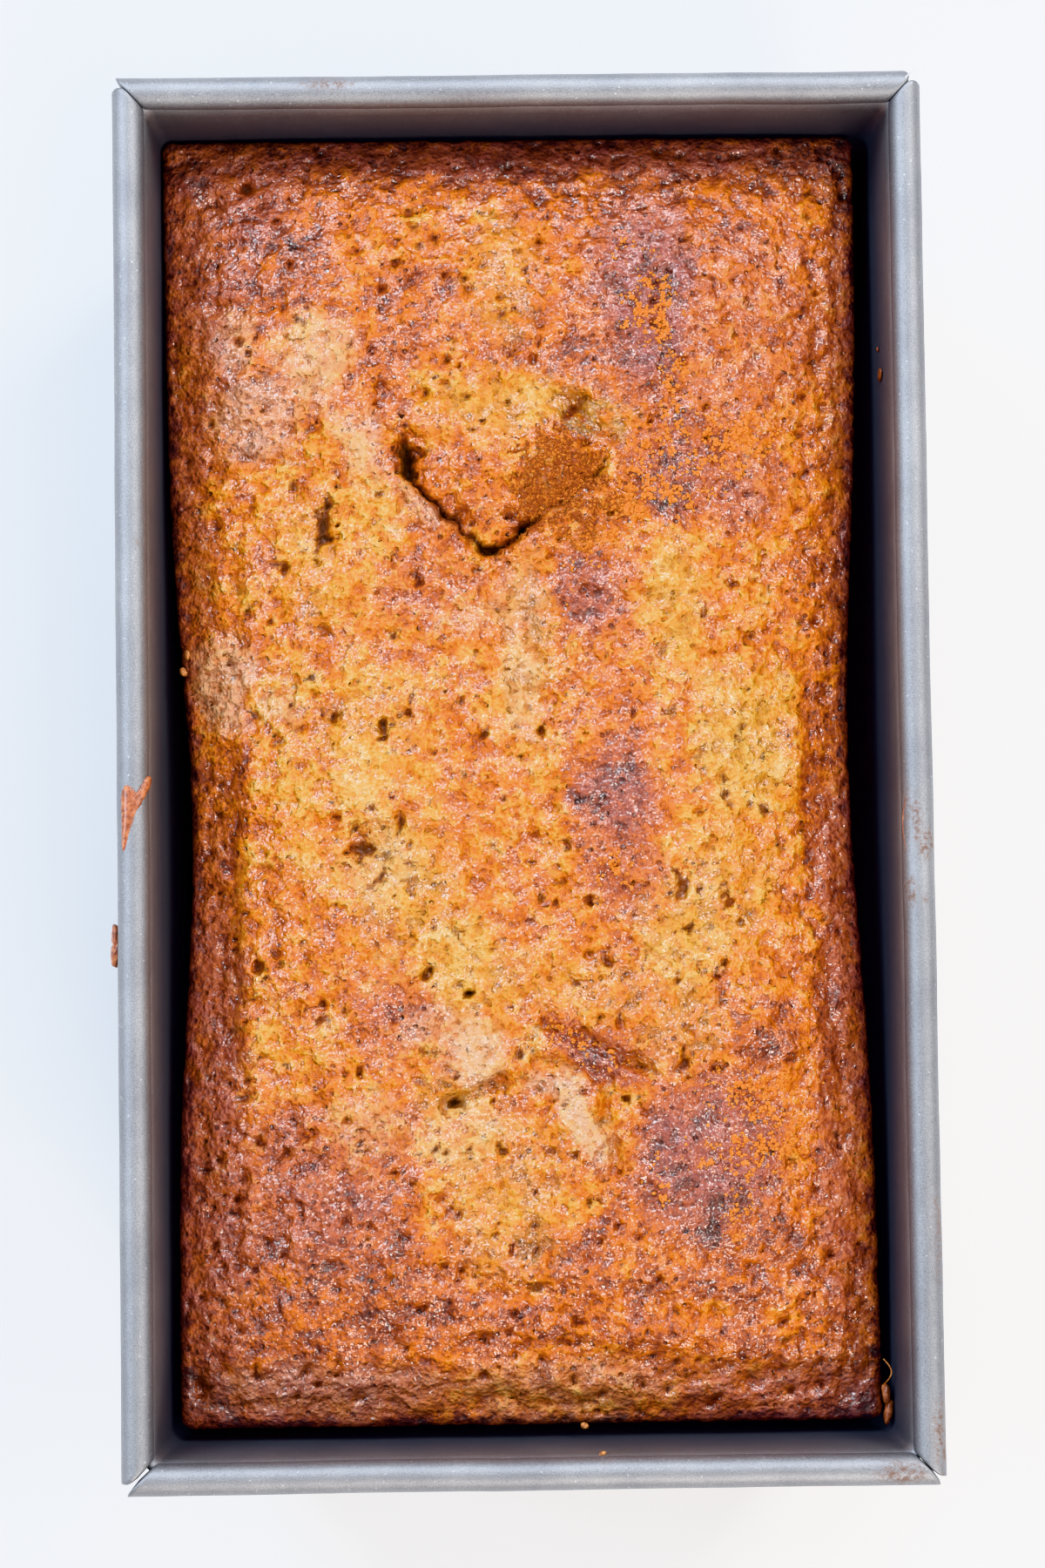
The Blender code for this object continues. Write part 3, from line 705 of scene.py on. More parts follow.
def crust_material():
    n = Nodes("baked_crust")
    tone = n.value("tone")
    swell = n.noise(6.0, 2.0, 0.5, seed=7.0)
    lump = n.noise(3.2, 2.0, 0.5)
    grit = n.noise(1.2, 2.0, 0.5, seed=5.0)
    pinholes = n.cells(1.9)
    pinhole = n.span(pinholes.outputs["Distance"], 0.10, 0.30, 1.0, 0.0)
    picked = n.add("ShaderNodeSeparateColor")
    n.join(pinholes.outputs["Color"], picked.inputs["Color"])
    pinhole = n.math("MULTIPLY", pinhole, n.span(picked.outputs["Red"], 0.20, 0.70))
    pinhole = n.math("MULTIPLY", pinhole, n.span(tone, 0.25, 0.62, 0.5, 1.0))

    tone = n.math("ADD", tone, n.span(swell, 0.32, 0.68, -0.06, 0.06))
    # Lump, grit and sand are also bump heights below: their low parts turn darker here, painted shade in
    # the hollows, on top of the random change of tone.
    tone = n.math("ADD", tone, n.span(lump, 0.32, 0.68, 0.09, -0.11))
    sand = n.noise(0.6, 1.0, 0.5, seed=29.0)
    tone = n.math("ADD", tone, n.span(sand, 0.3, 0.7, 0.08, -0.08))
    tone = n.math("ADD", tone, n.span(grit, 0.32, 0.68, 0.06, -0.07), clamp=True)
    colour = n.ramp(tone, TONE_RAMP)

    khaki = n.math("MULTIPLY", n.value("khaki"), n.span(lump, 0.38, 0.62, 0.85, 0.1))
    colour = n.blend(khaki, colour, KHAKI)
    beige = n.math("MULTIPLY", n.value("beige"), n.span(grit, 0.3, 0.6, 0.45, 1.0))
    colour = n.blend(beige, colour, BEIGE)
    # Mauve: baked skin colour with a painted sheen, stronger on the lumps.
    mauve_and_sheen = n.math("MULTIPLY", n.value("mauve_and_sheen"), n.span(lump, 0.35, 0.62, 0.25, 0.90))
    colour = n.blend(mauve_and_sheen, colour, MAUVE_AND_SHEEN)
    # Painted shade: darker where lump and grit are low and in the crust's crevices.
    shade = n.math("MULTIPLY", n.span(lump, 0.34, 0.52, 0.55, 1.0), n.span(grit, 0.34, 0.52, 0.60, 1.0))
    shade = n.math("MULTIPLY", shade, n.span(n.value("crevice"), 0.1, 0.9, 1.0, 0.35))
    painted_shade_colour = n.blend(1.0, colour, (0.54, 0.33, 0.18), "MULTIPLY")
    colour = n.blend(n.math("SUBTRACT", 1.0, shade), colour, painted_shade_colour)
    # Painted highlight: pale cream on the ridges where the crust is pale.
    pale = n.math("MULTIPLY", n.value("ridge"), n.span(tone, 0.50, 0.15, 0.0, 0.55))
    pale = n.math("MULTIPLY", pale, n.span(sand, 0.40, 0.60, 0.25, 1.0))
    colour = n.blend(pale, colour, (0.68, 0.42, 0.12))
    dust_grain = n.span(n.noise(0.7, 2.0, 0.7, seed=3.0), 0.44, 0.60)
    dust = n.math("MULTIPLY", n.span(n.value("dust"), 0.05, 0.9), dust_grain)
    colour = n.blend(n.span(n.value("dust"), 0.30, 1.0, 0.0, 0.7), colour, CINNAMON)
    # Painted shade in the pinholes, pits and crack, darkest at the crack's bottom.
    deep = n.value("deep")
    painted_pit_shade = n.blend(1.0, colour, (0.42, 0.24, 0.16), "MULTIPLY")
    colour = n.blend(n.math("MULTIPLY", pinhole, 0.75), colour, painted_pit_shade)
    colour = n.blend(n.span(deep, 0.0, 0.5, 0.0, 0.9), colour, painted_pit_shade)
    colour = n.blend(n.span(deep, 0.55, 1.0, 0.0, 0.85), colour, PAINTED_DEEP_SHADE)

    rough = n.span(n.noise(1.6, 2.0, 0.6, seed=11.0), 0.35, 0.65, 0.24, 0.60)
    rough = n.math("ADD", rough, n.math("MULTIPLY", dust, 0.4), clamp=True)
    wet = n.span(n.noise(4.0, 3.0, 0.65, seed=23.0), 0.45, 0.55, 0.04, 1.0)
    wet = n.math("MAXIMUM", wet, n.span(tone, 0.48, 0.66, 0.0, 0.55))
    wet = n.math("MULTIPLY", wet, n.span(dust, 0.0, 0.6, 1.0, 0.0))
    wet = n.math("MULTIPLY", wet, n.span(deep, 0.0, 0.6, 1.0, 0.1))

    normal = n.bump(lump, 1.9)
    normal = n.bump(grit, 0.9, normal)
    normal = n.bump(sand, 0.30, normal)
    normal = n.bump(n.math("MULTIPLY", pinhole, -1.0), 0.4, normal)
    film = n.bump(lump, 1.5)
    film = n.bump(n.noise(0.85, 1.0, 0.5, seed=19.0), 0.42, film)
    n.set(Base_Color=colour, Roughness=rough, Specular_IOR_Level=0.35, Normal=normal)
    n.set(Coat_Weight=wet, Coat_Normal=film, Coat_Roughness=0.15, Coat_IOR=1.75)
    return n.material


def steel_material():
    """Satin grey pan coating with a fine grain, stains, and baked-on film that is partly painted shade.
    """
    n = Nodes("pan_coating")
    speck = n.noise(0.22, 3.0, 0.7)
    drawn = n.noise(0.5, 3.0, 0.6, stretch=(1.0, 1.0, 0.12), seed=4.0)
    cloud = n.noise(14.0, 4.0, 0.6, seed=8.0)
    colour = n.ramp(cloud, ((0.30, (0.235, 0.24, 0.255)), (0.70, (0.30, 0.305, 0.315))))
    fleck = n.ramp(speck, ((0.28, (0.22, 0.22, 0.24)), (0.72, (0.92, 0.93, 0.95))))
    colour = n.blend(0.55, colour, fleck, "OVERLAY")
    sparks = n.cells(1.9)
    bright = n.span(sparks.outputs["Distance"], 0.05, 0.11, 1.0, 0.0)
    colour = n.blend(n.math("MULTIPLY", bright, 0.3), colour, (0.90, 0.92, 0.95))
    # Film: baked-on darkening, partly painted shade down the inside walls and on the curls' inner sides.
    film = n.value("film")
    colour = n.blend(n.math("MULTIPLY", film, 0.88), colour, (0.135, 0.135, 0.165))
    stain = n.value("stain")
    stain = n.math("MULTIPLY", stain, n.span(n.noise(0.9, 4.0, 0.7, seed=31.0), 0.38, 0.62))
    colour = n.blend(n.math("MULTIPLY", stain, 0.9), colour, (0.13, 0.052, 0.022))
    metal = n.span(stain, 0.0, 0.6, 0.92, 0.15)
    rough = n.span(speck, 0.3, 0.7, 0.48, 0.62)
    rough = n.math("ADD", rough, n.math("MULTIPLY", film, 0.10), clamp=True)
    normal = n.bump(speck, 0.05)
    normal = n.bump(drawn, 0.02, normal)
    normal = n.bump(n.noise(9.0, 2.0, 0.5, seed=12.0), 0.25, normal)
    n.set(Base_Color=colour, Roughness=rough, Metallic=metal, Normal=normal)
    return n.material


def speckled(name, size, stops, roughness, depth, relief=None, detail=3.0, unevenness=0.6):
    """Nodes whose colour and roughness follow one noise, and bump too unless
    relief names a noise of its own."""
    n = Nodes(name)
    cloud = n.noise(size, detail, unevenness)
    bumps = n.noise(*relief) if relief else cloud
    n.set(Base_Color=n.ramp(cloud, stops), Roughness=n.span(cloud, 0.3, 0.7, *roughness))
    n.set(Normal=n.bump(bumps, depth))
    return n


def bare_metal_material():
    n = speckled("bare_sheet_edge", 0.3, ((0.3, (0.72, 0.73, 0.75)), (0.7, (0.92, 0.92, 0.93))),
                 (0.18, 0.32), 0.02)
    n.set(Metallic=1.0)
    return n.material


# Near-black for the lumps in the mitres' holes: painted shade.
def painted_hole_shade_material():
    stops = ((0.3, (0.010, 0.009, 0.010)), (0.7, (0.030, 0.027, 0.030)))
    return speckled("painted_hole_shade", 0.3, stops, (0.6, 0.9), 0.05).material


def batter_material():
    stops = ((0.32, (0.12, 0.030, 0.014)), (0.50, (0.32, 0.090, 0.035)), (0.68, (0.52, 0.21, 0.09)))
    n = speckled("baked_batter", 1.1, stops, (0.28, 0.55), 0.12, (0.5, 3.0, 0.6), 4.0, 0.65)
    n.set(Coat_Weight=0.5, Coat_Roughness=0.15)
    return n.material


def cinnamon_material():
    stops = ((0.32, (0.62, 0.19, 0.022)), (0.52, (0.80, 0.29, 0.04)), (0.70, (0.86, 0.38, 0.07)))
    n = Nodes("cinnamon_grain")
    cloud = n.noise(0.4, 3.0, 0.6)
    # Shade darkens the grains: at random, and on the tongue partly as painted shade.
    colour = n.blend(n.value("shade"), n.ramp(cloud, stops), (0.27, 0.062, 0.013))
    n.set(Base_Color=colour, Roughness=n.span(cloud, 0.3, 0.7, 0.75, 0.95), Normal=n.bump(cloud, 0.05))
    return n.material


def crumb_material():
    stops = ((0.32, (0.20, 0.06, 0.02)), (0.50, (0.45, 0.17, 0.05)), (0.68, (0.70, 0.40, 0.17)))
    return speckled("loose_crumb", 0.5, stops, (0.5, 0.8), 0.1).material


def floor_material():
    stops = ((0.30, (0.82, 0.82, 0.825)), (0.70, (0.86, 0.86, 0.865)))
    return speckled("pale_tabletop", 60.0, stops, (0.5, 0.6), 0.02, (2.0,), 4.0).material


# ------------------------------------------------------------------ meshes

def mesh_object(name, points, faces, material, smooth=True):
    """points in millimetres."""
    mesh = bpy.data.meshes.new(name)
    mesh.from_pydata((np.asarray(points, dtype=float) * MM).tolist(), [], faces)
    mesh.validate()
    shape = bmesh.new()
    shape.from_mesh(mesh)
    bmesh.ops.recalc_face_normals(shape, faces=shape.faces)
    shape.to_mesh(mesh)
    shape.free()
    if smooth:
        mesh.shade_smooth()
    made = bpy.data.objects.new(name, mesh)
    bpy.context.scene.collection.objects.link(made)
    mesh.materials.append(material)
    return made


def give_values(piece, name, values):
    layer = piece.data.attributes.new(name, "FLOAT", "POINT")
    layer.data.foreach_set("value", np.asarray(values, dtype=np.float32))


def grid_faces(rows, columns, offset=0, wrap=False):
    """Quads between rows of points; wrap joins the last column to the first."""
    width = columns if wrap else columns - 1
    row, column = np.meshgrid(np.arange(rows - 1), np.arange(width), indexing="ij")
    first = offset + row * columns + column
    second = offset + row * columns + (column + 1) % columns
    return np.stack([first, second, second + columns, first + columns], -1).reshape(-1, 4).tolist()


def grid_border(rows, columns):
    """Numbers of a grid's outer points, in order round it."""
    number = np.arange(rows * columns).reshape(rows, columns)
    return np.concatenate([number[0, :-1], number[:-1, -1], number[-1, :0:-1], number[:0:-1, 0]])


def end_faces(rows, columns):
    """The two flat ends of a closed grid that wraps round."""
    return [list(range(columns)), [(rows - 1) * columns + step for step in reversed(range(columns))]]


def make_bread(crust, colouring, material):
    """The crust's grid, then rings down the sides and round the foot."""
    rows, columns = crust.u.shape
    points = [np.stack([crust.x, crust.y, crust.height], -1).reshape(-1, 3)]
    faces = grid_faces(rows, columns)
    rim = grid_border(rows, columns)
    rim_u, rim_v = crust.u.reshape(-1)[rim], crust.v.reshape(-1)[rim]
    rim_height = crust.height.reshape(-1)[rim]
    rings = []
    foot_top = BREAD_FOOT + BREAD_FOOT_RADIUS
    for ring in range(1, SIDE_RINGS + 1):
        down = ring / (SIDE_RINGS - 2)
        if down <= 1:
            level = mix(rim_height, foot_top, down ** 1.4)
            inset = 0.35 * math.sin(math.pi * min(down * 4, 1)) + 0.25 * down * (1 - down)
        else:
            angle = (ring - SIDE_RINGS + 2) * math.pi / 4
            level = np.full(rim.shape, foot_top - BREAD_FOOT_RADIUS * math.sin(angle))
            inset = BREAD_FOOT_RADIUS * (1 - math.cos(angle))
        share = (level - BREAD_FOOT) / (CRUST_EDGE - BREAD_FOOT)
        x, y = bread_place(rim_u, rim_v, share, inset)
        shrink = 1 - 0.002 * (1 + layered_noise(x + y, level * 1.5 + x, 5.0, 51))
        rings.append(np.stack([x * shrink, y * shrink, level], -1))
    start = rows * columns
    count = len(rim)
    previous = rim
    for ring, ring_points in enumerate(rings):
        current = start + ring * count + np.arange(count)
        quads = np.stack([previous, np.roll(previous, -1), np.roll(current, -1), current], -1)
        faces += quads.tolist()
        previous = current
        points.append(ring_points)
    faces.append(previous.tolist())
    bread = mesh_object("banana_bread_crust", np.concatenate(points), faces, material)
    below = len(rings) * count
    for name, field in colouring.items():
        # The sides get a dark tone and a little of the mauve with its painted sheen.
        side = {"tone": 0.80, "mauve_and_sheen": 0.3}.get(name, 0.0)
        values = np.concatenate([field.reshape(-1), np.full(below, side)])
        give_values(bread, name, values)
    return bread


OCTAHEDRON = ((1, 0, 0), (-1, 0, 0), (0, 1, 0), (0, -1, 0), (0, 0, 1), (0, 0, -1))
OCTAHEDRON_FACES = ((0, 2, 4), (2, 1, 4), (1, 3, 4), (3, 0, 4),
                    (2, 0, 5), (1, 2, 5), (3, 1, 5), (0, 3, 5))


def make_cinnamon(crust, dust, material):
    """Loose grains lying on the crust where the dust is thick."""
    random = np.random.default_rng(61)
    chance = np.clip(dust[:-1, :-1] - 0.04, 0, 1) ** 1.5
    clumps = layered_noise(crust.x, crust.y, 2.6, 62, layers=3, keep=0.7)[:-1, :-1]
    clumps = np.clip(3 * clumps + 2.2 * dust[:-1, :-1] - 0.9, 0.02, 1)
    chance = (chance * clumps * random.uniform(0, 1, chance.shape) ** 2.5).reshape(-1)
    picked = random.choice(chance.size, DUST_COUNT, p=chance / chance.sum())
    row, column = np.unravel_index(picked, dust[:-1, :-1].shape)
    part = random.uniform(0, 1, (2, DUST_COUNT))
    place = np.stack([crust.x, crust.y, crust.height], -1)
    lower = mix(place[row, column], place[row, column + 1], part[0][:, None])
    upper = mix(place[row + 1, column], place[row + 1, column + 1], part[0][:, None])
    centre = mix(lower, upper, part[1][:, None])
    size = 0.15 + 0.19 * random.uniform(0, 1, DUST_COUNT) ** 2
    corners = np.array(OCTAHEDRON, dtype=float)
    stretch = random.uniform(0.6, 1.4, (DUST_COUNT, len(corners), 1))
    turn = random.uniform(0, 2 * np.pi, DUST_COUNT)[:, None]
    right, ahead, up = corners[:, 0], corners[:, 1], corners[:, 2]
    spun = np.stack([right * np.cos(turn) - ahead * np.sin(turn),
                     right * np.sin(turn) + ahead * np.cos(turn),
                     np.broadcast_to(up, (DUST_COUNT, len(corners)))], -1)
    points = centre[:, None, :] + spun * stretch * size[:, None, None]
    points[:, :, 2] += 0.4 * size[:, None]
    first = np.arange(DUST_COUNT)[:, None, None] * len(corners)
    faces = (first + np.array(OCTAHEDRON_FACES)[None]).reshape(-1, 3).tolist()
    grains = mesh_object("cinnamon_grains", points.reshape(-1, 3), faces, material, smooth=False)
    # Grains darker at random, and darker still on the tongue where the dust lies thick by the crack,
    # partly painted shade.
    tongue = 1 - smooth_step(0.9, 1.6, oval_distance(centre[:, 0], centre[:, 1], 5.0, 50.0, 10.0, 9.0))
    shade = np.clip(random.uniform(-0.7, 0.5, DUST_COUNT) + 1.0 * tongue, 0, 1)
    give_values(grains, "shade", np.repeat(shade, len(corners)))
    return grains


# --------------------------------------------------------------------- pan

CORNER_STEPS = 10
END_STEPS = 24
SIDE_STEPS = 40
FOOT_STEPS = 6
WALL_STEPS = 14
TOP_CORNER = 1.4          # the fold's radius where the wall meets the curl
WALL_BOW = 0.30
# The wall's last ring, hidden inside the curl: height and inset.
TUCKED_RING = (CURL_MIDDLE + 0.45, -0.75)


def rounded_outline(half_x, half_y, radius):
    """Points round a rectangle with round corners, the same count each time."""
    points = []
    for quarter, (sign_x, sign_y) in enumerate(((1, 1), (-1, 1), (-1, -1), (1, -1))):
        middle_x, middle_y = sign_x * (half_x - radius), sign_y * (half_y - radius)
        for step in range(CORNER_STEPS + 1):
            angle = math.pi / 2 * (quarter + step / CORNER_STEPS)
            points.append((middle_x + radius * math.cos(angle), middle_y + radius * math.sin(angle)))
        start = np.array(points[-1])
        mirror, steps = (((-1, 1), END_STEPS), ((1, -1), SIDE_STEPS))[quarter % 2]
        points += [tuple(mix(start, start * mirror, step / steps)) for step in range(1, steps)]
    return np.array(points)


def tray_levels():
    """Height and inset of each ring on the tray's inside, from the bottom up."""
    levels = []
    for step in range(FOOT_STEPS + 1):
        angle = math.pi / 2 * step / FOOT_STEPS
        levels.append((SHEET + PAN_CORNER * (1 - math.cos(angle)), PAN_CORNER * (1 - math.sin(angle))))
    for step in range(1, WALL_STEPS + 1):
        levels.append((mix(SHEET + PAN_CORNER, CURL_MIDDLE, step / WALL_STEPS), 0.0))
    return levels + [TUCKED_RING]


def bowed(ring):
    """A ring of the tray with the slight outward bow of the long flat walls."""
    bow = WALL_BOW * np.sin(np.pi * np.clip((ring[:, 2] - 5) / 60, 0, 1))
    flat_x = np.clip(1 - abs(ring[:, 1]) / (PAN_LENGTH / 2 - 15), 0, 1)
    flat_y = np.clip(1 - abs(ring[:, 0]) / (PAN_WIDTH / 2 - 15), 0, 1)
    ring[:, 0] += np.sign(ring[:, 0]) * bow * np.minimum(1, 3 * flat_x) * 0.8
    ring[:, 1] += np.sign(ring[:, 1]) * bow * np.minimum(1, 3 * flat_y) * 0.5
    return ring


def make_tray(material):
    """Folded tray: its inside skin, then its outside skin, one sheet apart."""
    inside, outside = [], []
    for level, inset in tray_levels():
        fold = mix(PAN_CORNER, TOP_CORNER, smooth_step(20.0, 66.0, level))
        half_x = pan_inside(PAN_WIDTH, level) - inset
        half_y = pan_inside(PAN_LENGTH, level) - inset
        ring = rounded_outline(half_x, half_y, fold)
        inside.append(bowed(np.column_stack([ring, np.full(len(ring), level)])))
        drop = SHEET * max(inset, 0.0) / PAN_CORNER
        grown = SHEET - drop * 0.4
        ring = rounded_outline(half_x + grown, half_y + grown, fold + SHEET)
        outside.append(bowed(np.column_stack([ring, np.full(len(ring), max(level - drop, 0.0))])))
    count = len(inside[0])
    rings = inside[::-1] + outside
    around = np.arange(count)
    top_inside, top_outside = around, (len(rings) - 1) * count + around
    faces = grid_faces(len(inside), count, wrap=True)
    faces += grid_faces(len(outside), count, offset=len(inside) * count, wrap=True)
    top = [top_inside, top_outside, np.roll(top_outside, -1), np.roll(top_inside, -1)]
    faces += np.stack(top, -1).tolist()
    faces.append(((len(inside) - 1) * count + around).tolist())
    faces.append((len(inside) * count + around[::-1]).tolist())
    tray = mesh_object("pan_tray", np.concatenate(rings), faces, material)
    # Film darkest at the inside walls' foot and gone by the top, partly painted shade of the deep gap; a
    # little near the top outside.
    baked = [1 - smooth_step(54.0, 69.5, ring[:, 2]) for ring in inside[::-1]]
    baked += [0.25 * smooth_step(60.0, 68.0, ring[:, 2]) for ring in outside]
    give_values(tray, "film", np.concatenate(baked))
    give_values(tray, "stain", np.zeros(len(rings) * count))
    return tray


# Curl ends, at the low and the high side of the axis it runs along: how far
# the mitre is set back, and how round its tip is.
CURL_ENDS = {
    "left": ((0.55, 1.6), (0.20, 2.4)), "right": ((0.30, 1.2), (0.15, 2.6)),
    "far": ((0.15, 0.5), (0.15, 2.6)), "near": ((0.45, 0.4), (0.25, 0.8)),
}
CURL_SEEDS = {"left": 71, "right": 72, "far": 73, "near": 74}
CURL_AROUND = 32
CURL_CAP = 0.45           # how far a curl's rounded end stands out
CURL_CAP_STEPS = 3
# Stain on a curl: place along it, angle round it (0 up, 90 outward), the
# radii in millimetres and degrees, and the strength.
CURL_STAINS = {
    "right": ((-6, -50, 6, 28, 0.7), (-12.5, 30, 3.2, 45, 1), (-8.5, -10, 5, 22, 0.9),
              (-20.5, -45, 3.2, 40, 0.9), (-21.5, 15, 1.2, 14, 0.8), (-78, 45, 11, 24, 0.7),
              (-111, 40, 7, 40, 1), (30, 50, 2, 10, 0.5)),
    "far": ((-32, 20, 5, 35, 0.8), (-7, -40, 10, 30, 0.35), (2, -60, 6, 25, 0.5)),
    "near": ((61.5, 10, 5, 60, 0.9), (12, -50, 2, 20, 0.4)),
    "left": ((-6, 10, 3, 20, 0.3), (40, -30, 1, 12, 0.5)),
}


def curl_line(side):
    """Whether a curl runs across the pan, where its middle line is, and the
    direction that is outward."""
    across = side in ("far", "near")
    middle = ((PAN_LENGTH if across else PAN_WIDTH) - CURL) / 2
    return across, middle, 1 if side in ("far", "right") else -1


def make_curl(side, material):
    """One straight rolled edge, closed at both mitres."""
    across, middle, direction = curl_line(side)
    half = (PAN_WIDTH - CURL) / 2 if across else (PAN_LENGTH - CURL) / 2
    steps = 180 if across else 300
    angle = np.linspace(0, 2 * np.pi, CURL_AROUND, endpoint=False)
    (low_set, low_tip), (high_set, high_tip) = CURL_ENDS[side]
    seed = CURL_SEEDS[side]
    rings = []
    for step in range(-CURL_CAP_STEPS, steps + CURL_CAP_STEPS + 1):
        share = min(max(step / steps, 0), 1)
        beyond = max(-step, step - steps, 0) / CURL_CAP_STEPS
        radius = CURL / 2 * max(math.sqrt(1 - beyond ** 2), 0.02)
        ring_out, ring_up = np.sin(angle) * radius, np.cos(angle) * radius
        tip = np.clip(ring_out / (CURL / 2), 0, 1) ** 2
        low = -(half + ring_out - low_set * math.sqrt(2) - low_tip * tip)
        high = half + ring_out - high_set * math.sqrt(2) - high_tip * tip
        along = mix(low, high, share) + math.copysign(CURL_CAP, step) * beyond
        place = mix(-1.0, 1.0, share)
        spot = np.array(place * half)
        wave = 0.16 * float(layered_noise(spot, np.array(seed * 3.0), 46.0, seed))
        sag = 0.10 * float(gradient_noise(spot, np.array(seed * 5.0), 33.0, seed + 9))
        out = direction * (middle + ring_out) - direction * abs(wave) * (1 - abs(place) ** 6)
        up = CURL_MIDDLE + ring_up - abs(sag)
        rings.append(np.stack((along, out, up) if across else (out, along, up), -1))
    count = CURL_AROUND
    faces = grid_faces(len(rings), count, wrap=True) + end_faces(len(rings), count)
    points = np.concatenate(rings)
    curl = mesh_object("rim_" + side, points, faces, material)

    lengthwise = points[:, 0] if across else points[:, 1]
    degrees = np.degrees(np.tile((angle + np.pi) % (2 * np.pi) - np.pi, len(rings)))
    stain = np.zeros(len(points))
    for at, turn, reach, spread, strength in CURL_STAINS[side]:
        gap = np.hypot((lengthwise - at) / reach, (degrees - turn) / spread)
        gap += 0.35 * layered_noise(lengthwise * 2.0, degrees / 8.0, 1.6, 75)
        stain = np.maximum(stain, strength * (1 - smooth_step(0.4, 1.1, gap)))
    give_values(curl, "stain", stain)
    # Film on the curl's inner side, partly painted shade.
    inner = smooth_step(35.0, 95.0, -degrees) * (1 - smooth_step(140.0, 170.0, -degrees))
    give_values(curl, "film", 0.5 * inner)
    return curl


def tube(name, path, radii, material, sides=10):
    """A closed tube along points in millimetres, tapering to its radii."""
    path = [Vector(point) for point in path]
    points = []
    for index, point in enumerate(path):
        ahead = path[min(index + 1, len(path) - 1)] - path[max(index - 1, 0)]
        side = ahead.cross(Vector((0, 0, 1))).normalized()
        lift = side.cross(ahead).normalized()
        for step in range(sides):
            angle = 2 * math.pi * step / sides
            points.append(point + radii[index] * (math.cos(angle) * side + math.sin(angle) * lift))
    faces = grid_faces(len(path), sides, wrap=True) + end_faces(len(path), sides)
    return mesh_object(name, [tuple(point) for point in points], faces, material)


def ride_root(piece):
    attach(piece, "root")


def curl_point(side, along, turn, lift=0.0):
    """A point on a curl's skin; turn is 0 on top and 90 at the outside."""
    across, middle, direction = curl_line(side)
    reach = CURL / 2 + lift
    out = direction * (middle + reach * math.sin(math.radians(turn)))
    up = CURL_MIDDLE + reach * math.cos(math.radians(turn))
    return (along, out, up) if across else (out, along, up)


SMEAR_ROWS = 40
SMEAR_COLUMNS = 13
SMEAR_SUNK = 0.06         # its edge lies this far inside the curl
# How far its hidden underside lies inward and down from the skin.
SMEAR_INWARD = 0.25
SMEAR_DOWN = 0.12


def make_smear(name, side, path, material, thickness):
    """Baked-on batter on a curl: path holds place along, turn and half-width."""
    path = np.array(path, dtype=float)
    share = np.linspace(0, len(path) - 1, SMEAR_ROWS)
    along, turn, width = (np.interp(share, range(len(path)), column) for column in path.T)
    along_run, turn_run = np.gradient(along), np.gradient(turn) * math.pi / 180 * CURL / 2
    length = np.maximum(np.hypot(along_run, turn_run), 1e-6)
    points = []
    for row in range(SMEAR_ROWS):
        end = math.sqrt(1 - (2 * row / (SMEAR_ROWS - 1) - 1) ** 10)
        for column in range(SMEAR_COLUMNS):
            over = 2 * column / (SMEAR_COLUMNS - 1) - 1
            wobble = 1 + 0.22 * float(gradient_noise(np.array(row * 0.35), np.array(over * 1.3), 1.0, 81))
            sideways = over * width[row] * end * wobble
            here = along[row] + sideways * -turn_run[row] / length[row]
            angle = turn[row] + sideways * along_run[row] / length[row] / (CURL / 2) * 180 / math.pi
            lift = thickness * end * math.sqrt(1 - over ** 2) - SMEAR_SUNK
            points.append(curl_point(side, here, angle, lift))
    across, _, direction = curl_line(side)
    inward = -SMEAR_INWARD * direction
    points = np.array(points)
    below = points + ((0, inward, -SMEAR_DOWN) if across else (inward, 0, -SMEAR_DOWN))
    top = len(points)
    faces = grid_faces(SMEAR_ROWS, SMEAR_COLUMNS)
    faces += [face[::-1] for face in grid_faces(SMEAR_ROWS, SMEAR_COLUMNS, offset=top)]
    border = grid_border(SMEAR_ROWS, SMEAR_COLUMNS)
    following = np.roll(border, -1)
    faces += np.stack([following, border, border + top, following + top], -1).tolist()
    return mesh_object(name, np.concatenate([points, below]), faces, material)


def make_lumps(name, lumps, material, seed):
    """Small uneven crumbs: centre, radii and turn of each, in millimetres."""
    shape = bmesh.new()
    random = np.random.default_rng(seed)
    for x, y, z, long, wide, tall, turn in lumps:
        made = bmesh.ops.create_icosphere(shape, subdivisions=3, radius=1.0)
        offset = random.uniform(0, 50)
        place = Matrix.Translation((x, y, z)) @ Matrix.Rotation(math.radians(turn), 4, "Z")
        for vert in made["verts"]:
            at = vert.co
            rough = gradient_noise(np.array(at.x * 2 + offset), np.array(at.y * 2 + at.z * 3), 1.0, seed)
            rough = 1 + 0.28 * float(rough)
            vert.co = place @ Vector((at.x * long * rough, at.y * wide * rough, at.z * tall * rough))
    shape.verts.index_update()
    points = [tuple(vert.co) for vert in shape.verts]
    faces = [[vert.index for vert in face.verts] for face in shape.faces]
    shape.free()
    return mesh_object(name, points, faces, material)


# ------------------------------------------------------------ camera, light

CAMERA_DISTANCE = 0.650
CAMERA_AIM = (-0.0005, -0.0015)
CAMERA_TILT = math.radians(3.40)
CAMERA_LEAN = math.radians(-0.81)
CAMERA_ROLL = math.radians(-0.71)
CAMERA_LENS = 88.4


